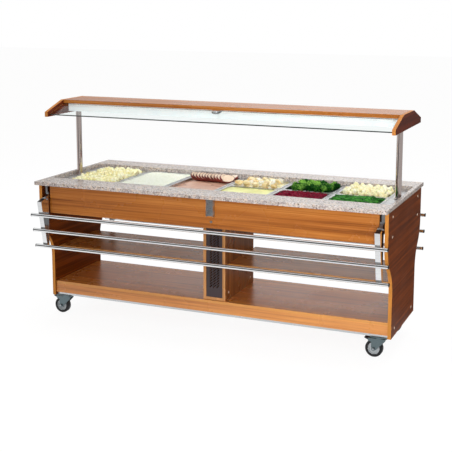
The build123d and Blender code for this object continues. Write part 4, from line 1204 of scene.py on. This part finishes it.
@dataclass(frozen=True)
class Food:
    """A food's finish: moist, a little translucent, with tints from piece to piece."""

    name: str
    deep: str
    middle: str
    light: str
    rough: float = 0.4
    pores: float = 160.0
    depth: float = 0.0004
    glow: float = 0.12
    wet: float = 0.15
    tinted: bool = True
    shine: float = 0.5

    def material(self) -> bpy.types.Material:
        """Builds the finish.

        Returns:
            The material.
        """
        graph = Graph(self.name)
        mottle = graph.clouds(graph.place(), self.pores * 0.35, 4.0, 0.62, 0.5)
        share = graph.spread(mottle, 0.25, 0.75)
        if self.tinted:
            tint = graph.add("NodeAttribute", attribute_name=Mould.TINT).outputs["Fac"]
            share = graph.sums("MULTIPLY_ADD", share, 0.5, graph.times(tint, 0.5))
        stops = [(0.12, tone(self.deep)), (0.5, tone(self.middle)), (0.88, tone(self.light))]
        grit = graph.clouds(graph.place(), self.pores, 4.0, 0.65)
        return graph.close(
            Base_Color=graph.ramp(share, stops),
            Roughness=graph.spread(mottle, 0.3, 0.7, self.rough - 0.08, self.rough + 0.12),
            Normal=graph.bump(grit, self.depth, 0.8),
            Subsurface_Weight=self.glow,
            Subsurface_Radius=(0.006, 0.004, 0.002),
            Coat_Weight=self.wet,
            Coat_Roughness=0.18,
            Specular_IOR_Level=self.shine,
        )


@dataclass(frozen=True)
class Heap:
    """How food is piled in a pan: a crown that falls to the walls, with lumps on it."""

    crown: float
    lumps: float
    size: float
    seed: float
    power: float = 4.0

    def height(self, u: float, v: float, spot: Vector) -> float:
        """The surface's height over the heap's edge.

        Args:
            u: Place across the pan, from -1 to 1.
            v: Place along it, from -1 to 1.
            spot: The same place in metres.

        Returns:
            The height in metres.
        """
        shoulder = max(0.0, 1.0 - abs(u) ** self.power) * max(0.0, 1.0 - abs(v) ** self.power)
        wave = noise.noise(Vector((spot.x, spot.y, self.seed)) / self.size)
        fine = noise.noise(Vector((spot.x, spot.y, self.seed + 5.0)) / (self.size * 0.35))
        return self.crown * shoulder + self.lumps * (wave + 0.4 * fine) * min(1.0, 3.0 * shoulder)

    def over(self, spot: Vector, half: Pair) -> float:
        """The same height at a place in metres, in a room of those half sizes."""
        return self.height(spot.x / half[0], spot.y / half[1], spot)


@dataclass
class PanRoom:
    """The room inside one lift-out pan."""

    node: str
    flange: float = 0.012
    wall: float = 0.0014
    taper: float = 7.0 / 65.0
    corner: float = 0.025
    bed_thickness: float = 0.006

    def __post_init__(self) -> None:
        """Reads the pan's box."""
        low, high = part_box(self.node)
        self.rim = high.z
        self.middle = (low + high) / 2
        self.reach = (high - low) / 2 - Vector((self.flange + self.wall, self.flange + self.wall, 0.0))
        self.body = f"{self.node}_body"

    def half(self, below: float) -> Pair:
        """The room's half sizes at a depth below the rim."""
        slope = self.taper * below
        return self.reach.x - slope, self.reach.y - slope

    def bed(
        self, name: str, finish: bpy.types.Material, below: float, heap: Heap, cell: float = 0.005
    ) -> None:
        """Makes the closed body of food under its loose pieces.

        Args:
            name: The piece's name.
            finish: Its material.
            below: How far its edge is below the rim, in metres.
            heap: Its upper surface.
            cell: The grid's cell, in metres.
        """
        half_x, half_y = self.half(below)
        shape = bmesh.new()
        columns, rows = round(2 * half_x / cell), round(2 * half_y / cell)
        bmesh.ops.create_grid(shape, x_segments=columns, y_segments=rows, size=1.0)
        for vert in shape.verts:
            spot = self.rounded(vert.co.x * half_x, vert.co.y * half_y, half_x, half_y)
            rise = heap.over(spot, (half_x, half_y))
            vert.co = self.middle.xy.to_3d() + spot + Vector((0.0, 0.0, self.rim - below + rise))
        bmesh.ops.solidify(shape, geom=shape.faces[:], thickness=self.bed_thickness)
        bmesh.ops.recalc_face_normals(shape, faces=shape.faces[:])
        settle(name, shape, self.body, finish)

    def rounded(self, x: float, y: float, half_x: float, half_y: float) -> Vector:
        """A point of a rectangle, drawn in where the room's corner is round.

        Args:
            x: Its place across, from the middle.
            y: Its place along.
            half_x: The rectangle's half width.
            half_y: Its half length.

        Returns:
            The point.
        """
        inner = Vector((max(0.0, abs(x) - half_x + self.corner), max(0.0, abs(y) - half_y + self.corner)))
        if inner.x > 0.0 and inner.y > 0.0 and inner.length > self.corner:
            inner *= self.corner / inner.length
            x = math.copysign(half_x - self.corner + inner.x, x)
            y = math.copysign(half_y - self.corner + inner.y, y)
        return Vector((x, y, 0.0))

    def spots(
        self, rand: random.Random, step: float, jitter: float, below: float, inset: float
    ) -> list[Vector]:
        """Places on a staggered grid, each a little off its point.

        Args:
            rand: The source of the offsets.
            step: The distance between places, in metres.
            jitter: The largest offset, as a share of the step.
            below: How far below the rim the room is measured.
            inset: How far from the wall the places keep.

        Returns:
            Places round the pan's middle.
        """
        half_x, half_y = self.half(below)
        half_x -= inset
        half_y -= inset
        rows = max(1, round(2 * half_y / (step * 0.87)))
        columns = max(1, round(2 * half_x / step))
        found = []
        for row in range(rows + 1):
            for column in range(columns + 1):
                x = -half_x + 2 * half_x * (column + 0.5 * (row % 2)) / columns
                y = -half_y + 2 * half_y * row / rows
                x += rand.uniform(-jitter, jitter) * step
                y += rand.uniform(-jitter, jitter) * step
                if abs(x) <= half_x and abs(y) <= half_y:
                    found.append(self.rounded(x, y, half_x, half_y))
        return found

    def origin(self) -> Matrix:
        """The middle of the pan at its rim."""
        return Matrix.Translation(Vector((self.middle.x, self.middle.y, self.rim)))


@dataclass(frozen=True)
class Litter:
    """How many long pieces lie about on a heap, how large they are and how they lie."""

    count: int
    half: Triple
    tilt: float
    inset: float
    facing: float = math.pi
    roll: float = 0.1
    sunk: Pair = (-0.001, 0.005)
    lengths: Pair = (0.8, 1.25)

    def places(self, room: PanRoom, rand: random.Random, heap: Heap, below: float) -> list[Matrix]:
        """Where the pieces lie.

        Args:
            room: The pan.
            rand: The source of the places.
            heap: The heap's surface.
            below: How far the heap's edge is below the rim.

        Returns:
            The places, round the pan's middle at its rim.
        """
        half_x, half_y = room.half(below)
        found = []
        for _ in range(self.count):
            x = rand.uniform(-half_x + self.inset, half_x - self.inset)
            y = rand.uniform(-half_y + self.inset, half_y - self.inset)
            spot = room.rounded(x, y, half_x - self.inset, half_y - self.inset)
            rise = heap.over(spot, (half_x, half_y)) - below + rand.uniform(*self.sunk)
            roll = rand.uniform(-math.pi, math.pi) * self.roll
            turn = Euler((roll, rand.uniform(-self.tilt, self.tilt), rand.uniform(-self.facing, self.facing)))
            length = self.half[0] * rand.uniform(*self.lengths)
            found.append(posed(spot, turn, (length, *self.half[1:]), rise))
        return found


@dataclass(frozen=True)
class Buffet:
    """What the pans hold."""

    seed: int = 20
    measured: float = 0.014
    potato_bed: float = 0.018
    potato_layers: tuple[Triple, ...] = ((0.0235, 0.004, 0.012), (0.027, 0.015, 0.020))
    potato_half: Pair = (0.0098, 0.0128)
    rice_bed: float = 0.004
    rice_reach: Pair = (0.97, 0.985)
    grain_count: int = 2600
    grain_half: Triple = (0.0040, 0.0013, 0.0012)
    gravy_bed: float = 0.016
    slice_count: int = 11
    slice_start: Triple = (-0.128, 0.165, 0.008)
    slice_step: Pair = (0.0205, -0.0010)
    slice_lean: float = -0.86
    slice_half: Triple = (0.0052, 0.052, 0.036)
    slice_rind: float = 0.07
    laid_slices: tuple[tuple[Triple, Triple, Triple], ...] = (
        ((0.104, 0.140, 0.010), (0.34, 0.10, 0.1), (0.005, 0.044, 0.044)),
        ((0.110, 0.192, 0.008), (0.26, -0.12, -0.3), (0.005, 0.042, 0.040)),
    )
    sauce_bed: float = 0.006
    cream_bed: float = 0.012
    fillet_step: float = 0.056
    fillet_inset: float = 0.028
    cauliflower_spots: tuple[Pair, ...] = (
        (-0.045, -0.055), (0.015, -0.060), (0.062, 0.030), (-0.018, 0.010), (0.085, -0.040), (0.095, 0.055),
    )
    cauliflower_half: Pair = (0.018, 0.023)
    cabbage_bed: float = 0.008
    cabbage_shreds: Litter = Litter(620, (0.012, 0.0026, 0.0016), 0.35, 0.012)
    broccoli_bed: float = 0.020
    broccoli_step: float = 0.040
    broccoli_half: Pair = (0.016, 0.021)
    bean_bed: float = 0.009
    bean_pods: Litter = Litter(330, (0.026, 0.0036, 0.0036), 0.22, 0.024, 0.9)
    dumpling_bed: float = 0.020
    dumpling_foot: float = -0.008
    dumpling_layers: tuple[Triple, ...] = (
        (0.029, 0.006, 0.016), (0.032, 0.020, 0.026), (0.040, 0.032, 0.044),
    )
    dumpling_half: Pair = (0.0125, 0.0155)

    def build(self) -> None:
        """Fills every pan."""
        self.potatoes(PanRoom("pan_1"))
        self.rice(PanRoom("pan_2"))
        self.roast(PanRoom("pan_3"))
        self.sauce(PanRoom("pan_4_front"))
        self.poultry(PanRoom("pan_4_rear"))
        self.cabbage(PanRoom("pan_5_front"))
        self.broccoli(PanRoom("pan_5_rear"))
        self.beans(PanRoom("pan_6_front"))
        self.dumplings(PanRoom("pan_6_rear"))

    def strewn(
        self,
        name: str,
        room: PanRoom,
        finish: bpy.types.Material,
        moulds: list[Mould],
        places: list[Matrix],
        rand: random.Random,
    ) -> None:
        """Makes one piece of moulds pressed at places.

        Args:
            name: The piece's name.
            room: The pan.
            finish: Its material.
            moulds: Its shapes, of which each place takes one.
            places: The places, round the pan's middle at its rim.
            rand: The source of the choice and of the tints.
        """
        shape = tinted_shape()
        for place in places:
            rand.choice(moulds).press(shape, room.origin() @ place, rand.random())
        settle(name, shape, room.body, finish)

    def potatoes(self, room: PanRoom) -> None:
        """Makes small boiled potatoes, heaped.

        Args:
            room: The pan.
        """
        rand = random.Random(self.seed + 1)
        flesh = Food("potato", "E9DA92", "FBF4C4", "FFFDE8", 0.5, 220.0, 0.0003, 0.12, 0.0)
        # painted shade: the bed under the potatoes is darker so that the gaps between them read as shadow
        shade = Food("potato_bed", "8C7A36", "A89548", "BBA95A", 0.6, 220.0, 0.0003, 0.0, 0.0, False)
        heap = Heap(0.016, 0.004, 0.05, 1.0)
        room.bed("potato_bed", shade.material(), self.potato_bed, heap)
        moulds = [pebble(2, 1.1, 0.22, seed) for seed in (0.3, 1.9, 4.4, 7.1)]
        half = room.half(self.measured)
        places = []
        for step, lift, inset in self.potato_layers:
            for spot in room.spots(rand, step, 0.30, self.measured, inset):
                rise = heap.over(spot, half) - self.potato_bed + lift + rand.uniform(0.0, 0.007)
                size = rand.uniform(*self.potato_half)
                shape = (size * rand.uniform(1.0, 1.3), size, size * rand.uniform(0.75, 0.95))
                places.append(posed(spot, turned(rand), shape, rise))
        self.strewn("potatoes", room, flesh.material(), moulds, places, rand)

    def rice(self, room: PanRoom) -> None:
        """Makes loose rice, level with the rim.

        Args:
            room: The pan.
        """
        rand = random.Random(self.seed + 2)
        white = Food("rice", "E8EAD8", "FCFCF2", "FFFFFC", 0.5, 420.0, 0.0004, 0.1, 0.0).material()
        heap = Heap(0.009, 0.0045, 0.022, 2.0, 6.0)
        room.bed("rice_bed", white, self.rice_bed, heap, 0.004)
        mould = pebble(1, 2.0, 0.1, 0.5)
        half_x, half_y = room.half(self.rice_bed)
        reach_u, reach_v = self.rice_reach
        places = []
        for _ in range(self.grain_count):
            u, v = rand.uniform(-reach_u, reach_u), rand.uniform(-reach_v, reach_v)
            spot = room.rounded(u * half_x, v * half_y, half_x, half_y)
            rise = heap.height(u, v, spot) - self.rice_bed + rand.uniform(0.0, 0.0012)
            places.append(posed(spot, turned(rand, 0.5), self.grain_half, rise))
        self.strewn("rice", room, white, [mould], places, rand)

    def roast(self, room: PanRoom) -> None:
        """Makes sliced roast that leans in a row at the back of a pan of gravy, with two slices laid on it.

        Args:
            room: The pan.
        """
        rand = random.Random(self.seed + 3)
        gravy = Food("gravy", "CF9A84", "DEAC94", "E8BEA8", 0.32, 30.0, 0.0002, 0.05, 0.15, False)
        room.bed("gravy", gravy.material(), self.gravy_bed, Heap(0.001, 0.0012, 0.05, 3.0, 12.0), 0.006)
        crust = Food("roast_crust", "3E0E09", "6A1D15", "8C372A", 0.38, 260.0, 0.0005, 0.05, 0.35)
        flesh = Food("roast_flesh", "D8B79C", "EACFB6", "F6E6D4", 0.42, 200.0, 0.0004, 0.1, 0.2)
        mould = self.slice_mould()
        shape = tinted_shape()
        start_x, start_y, start_z = self.slice_start
        thick, wide, high = self.slice_half
        for i in range(self.slice_count):
            x = start_x + self.slice_step[0] * i + rand.uniform(-0.0015, 0.0015)
            y = start_y + self.slice_step[1] * i + rand.uniform(-0.003, 0.003)
            roll, lean = rand.uniform(-0.05, 0.05), self.slice_lean + rand.uniform(-0.05, 0.05)
            turn = Euler((roll, lean, rand.uniform(-0.08, 0.08)))
            size = (thick, wide + rand.uniform(-0.002, 0.002), high)
            place = posed(Vector((x, y, start_z)), turn, size)
            mould.press(shape, room.origin() @ place, rand.random())
        flat = Matrix.Rotation(-math.pi / 2, 4, "Y")
        for at, turn, size in self.laid_slices:
            place = posed(Vector(at), Euler(turn), (1.0, 1.0, 1.0)) @ flat @ Matrix.Diagonal((*size, 1.0))
            mould.press(shape, room.origin() @ place, rand.random())
        settle("roast_slices", shape, room.body, crust.material(), flesh.material())

    def slice_mould(self) -> Mould:
        """A thick round slice of half thickness 1 and radius 1, its cut faces of the second material.

        Returns:
            The mould.
        """
        shape = rod(28, 1.0)
        caps = [face for face in shape.faces if abs(face.normal.x) > 0.9]
        bmesh.ops.inset_individual(shape, faces=caps, thickness=self.slice_rind, depth=0.0)
        for face in shape.faces:
            if abs(face.normal.x) > 0.9 and len(face.verts) > 4:
                face.material_index = 1
        for vert in shape.verts:
            across = Vector((0.0, vert.co.y, vert.co.z))
            wave = 1.0 + 0.10 * noise.noise(across * 1.4 + Vector((3.0, 1.0, 2.0)))
            vert.co.y *= wave
            vert.co.z *= wave
        cut_faces = [face for face in shape.faces if len(face.verts) > 4]
        bmesh.ops.poke(shape, faces=cut_faces, offset=0.25)
        return Mould(shape)

    def sauce(self, room: PanRoom) -> None:
        """Makes yellow sauce.

        Args:
            room: The pan.
        """
        yellow = Food("yellow_sauce", "EFE98E", "F8F4A2", "FDFABC", 0.38, 26.0, 0.0003, 0.1, 0.08, False)
        room.bed("yellow_sauce", yellow.material(), self.sauce_bed, Heap(0.001, 0.0014, 0.035, 4.0, 12.0))

    def poultry(self, room: PanRoom) -> None:
        """Makes pale fillets with browned edges among cream-coloured florets.

        Args:
            room: The pan.
        """
        rand = random.Random(self.seed + 4)
        cream = Food("cream_sauce", "D8C98A", "E8DDB0", "F3ECCB", 0.2, 60.0, 0.0004, 0.15, 0.5, False)
        room.bed("cream_sauce", cream.material(), self.cream_bed, Heap(0.012, 0.004, 0.03, 6.0))
        meat = Food("fillet", "D6A65A", "EED9A4", "F7ECCB", 0.42, 120.0, 0.0006, 0.2, 0.1)
        moulds = [pebble(3, 0.7, 0.35, seed) for seed in (2.2, 5.6, 9.4)]
        places = []
        for spot in room.spots(rand, self.fillet_step, 0.22, self.cream_bed, self.fillet_inset):
            rise = rand.uniform(0.004, 0.014)
            turn = turned(rand, 0.5)
            size = (rand.uniform(0.024, 0.034), rand.uniform(0.017, 0.022), rand.uniform(0.010, 0.014))
            places.append(posed(spot, turn, size, rise))
        self.strewn("fillets", room, meat.material(), moulds, places, rand)
        white = Food("cauliflower", "E6DDC4", "F4EFE2", "FCFAF3", 0.5, 300.0, 0.0006, 0.2, 0.1)
        heads = [floret(0.30, 26, 1.0)]
        places = []
        for x, y in self.cauliflower_spots:
            turn = turned(rand, 0.4, 3.0)
            size = rand.uniform(*self.cauliflower_half)
            places.append(posed(Vector((x, y, rand.uniform(0.002, 0.008))), turn, (size, size, size)))
        self.strewn("cauliflower", room, white.material(), heads, places, rand)

    def cabbage(self, room: PanRoom) -> None:
        """Makes shredded red cabbage.

        Args:
            room: The pan.
        """
        rand = random.Random(self.seed + 5)
        shreds = Food("red_cabbage", "52041A", "80082A", "9E1C40", 0.6, 180.0, 0.0004, 0.06, 0.0, shine=0.15)
        red = shreds.material()
        heap = Heap(0.012, 0.003, 0.03, 8.0)
        room.bed("cabbage_bed", red, self.cabbage_bed, heap)
        moulds = [strand(bend, 0.9) for bend in (0.5, 1.1, 1.7)]
        places = self.cabbage_shreds.places(room, rand, heap, self.cabbage_bed)
        self.strewn("red_cabbage", room, red, moulds, places, rand)

    def broccoli(self, room: PanRoom) -> None:
        """Makes broccoli florets.

        Args:
            room: The pan.
        """
        rand = random.Random(self.seed + 6)
        green = Food("broccoli", "041A05", "145010", "A2D85E", 0.7, 420.0, 0.0009, 0.04, 0.0, shine=0.15)
        # painted shade: the bed under the florets is near black green so that the gaps between them read as
        # shadow
        shade = Food("broccoli_bed", "03150A", "06240C", "0B3312", 0.7, 200.0, 0.0006, 0.0, 0.0, False)
        room.bed("broccoli_bed", shade.material(), self.broccoli_bed, Heap(0.012, 0.004, 0.03, 9.0))
        heads = [floret(0.27, 34, 1.1), floret(0.33, 24, 1.3)]
        places = []
        for spot in room.spots(rand, self.broccoli_step, 0.25, self.measured, 0.020):
            rise = rand.uniform(0.000, 0.014)
            turn = turned(rand, 0.9, 3.0)
            size = rand.uniform(*self.broccoli_half)
            places.append(posed(spot, turn, (size, size, size), rise))
        self.strewn("broccoli", room, green.material(), heads, places, rand)

    def beans(self, room: PanRoom) -> None:
        """Makes green beans.

        Args:
            room: The pan.
        """
        rand = random.Random(self.seed + 7)
        pods = Food("green_bean", "083A08", "1E6C16", "55A83A", 0.5, 140.0, 0.0002, 0.06, 0.0, shine=0.25)
        green = pods.material()
        heap = Heap(0.012, 0.003, 0.03, 11.0)
        room.bed("bean_bed", green, self.bean_bed, heap)
        moulds = [strand(bend, 0.7) for bend in (0.3, 0.7)]
        places = self.bean_pods.places(room, rand, heap, self.bean_bed)
        self.strewn("green_beans", room, green, moulds, places, rand)

    def dumplings(self, room: PanRoom) -> None:
        """Makes small potato dumplings.

        Args:
            room: The pan.
        """
        rand = random.Random(self.seed + 8)
        dough = Food("dumpling", "E8DC9E", "F4EDC4", "FCF9E2", 0.5, 240.0, 0.0004, 0.15, 0.0)
        # painted shade: the bed under the dumplings is darker so that the gaps between them read as shadow
        shade = Food("dumpling_bed", "9A8C4C", "B4A661", "C6B974", 0.6, 200.0, 0.0004, 0.0, 0.0, False)
        room.bed("dumpling_bed", shade.material(), self.dumpling_bed, Heap(0.012, 0.002, 0.05, 12.0))
        moulds = [pebble(2, 0.9, 0.12, seed) for seed in (0.8, 3.3, 6.1)]
        places = []
        for step, lift, inset in self.dumpling_layers:
            for spot in room.spots(rand, step, 0.18, self.measured, inset):
                size = rand.uniform(*self.dumpling_half)
                rise = self.dumpling_foot + lift + rand.uniform(0.0, 0.005)
                shape = (size, size * rand.uniform(0.9, 1.0), size * rand.uniform(0.82, 0.95))
                places.append(posed(spot, turned(rand), shape, rise))
        self.strewn("dumplings", room, dough.material(), moulds, places, rand)


def main() -> None:
    """Builds the stage and every sub-assembly in order."""
    logging.basicConfig(level=logging.INFO, format="%(name)s: %(message)s")
    Stage().build()
    Carcass().build()
    Hardware().build()
    Buffet().build()


if __name__ == "__main__":
    main()
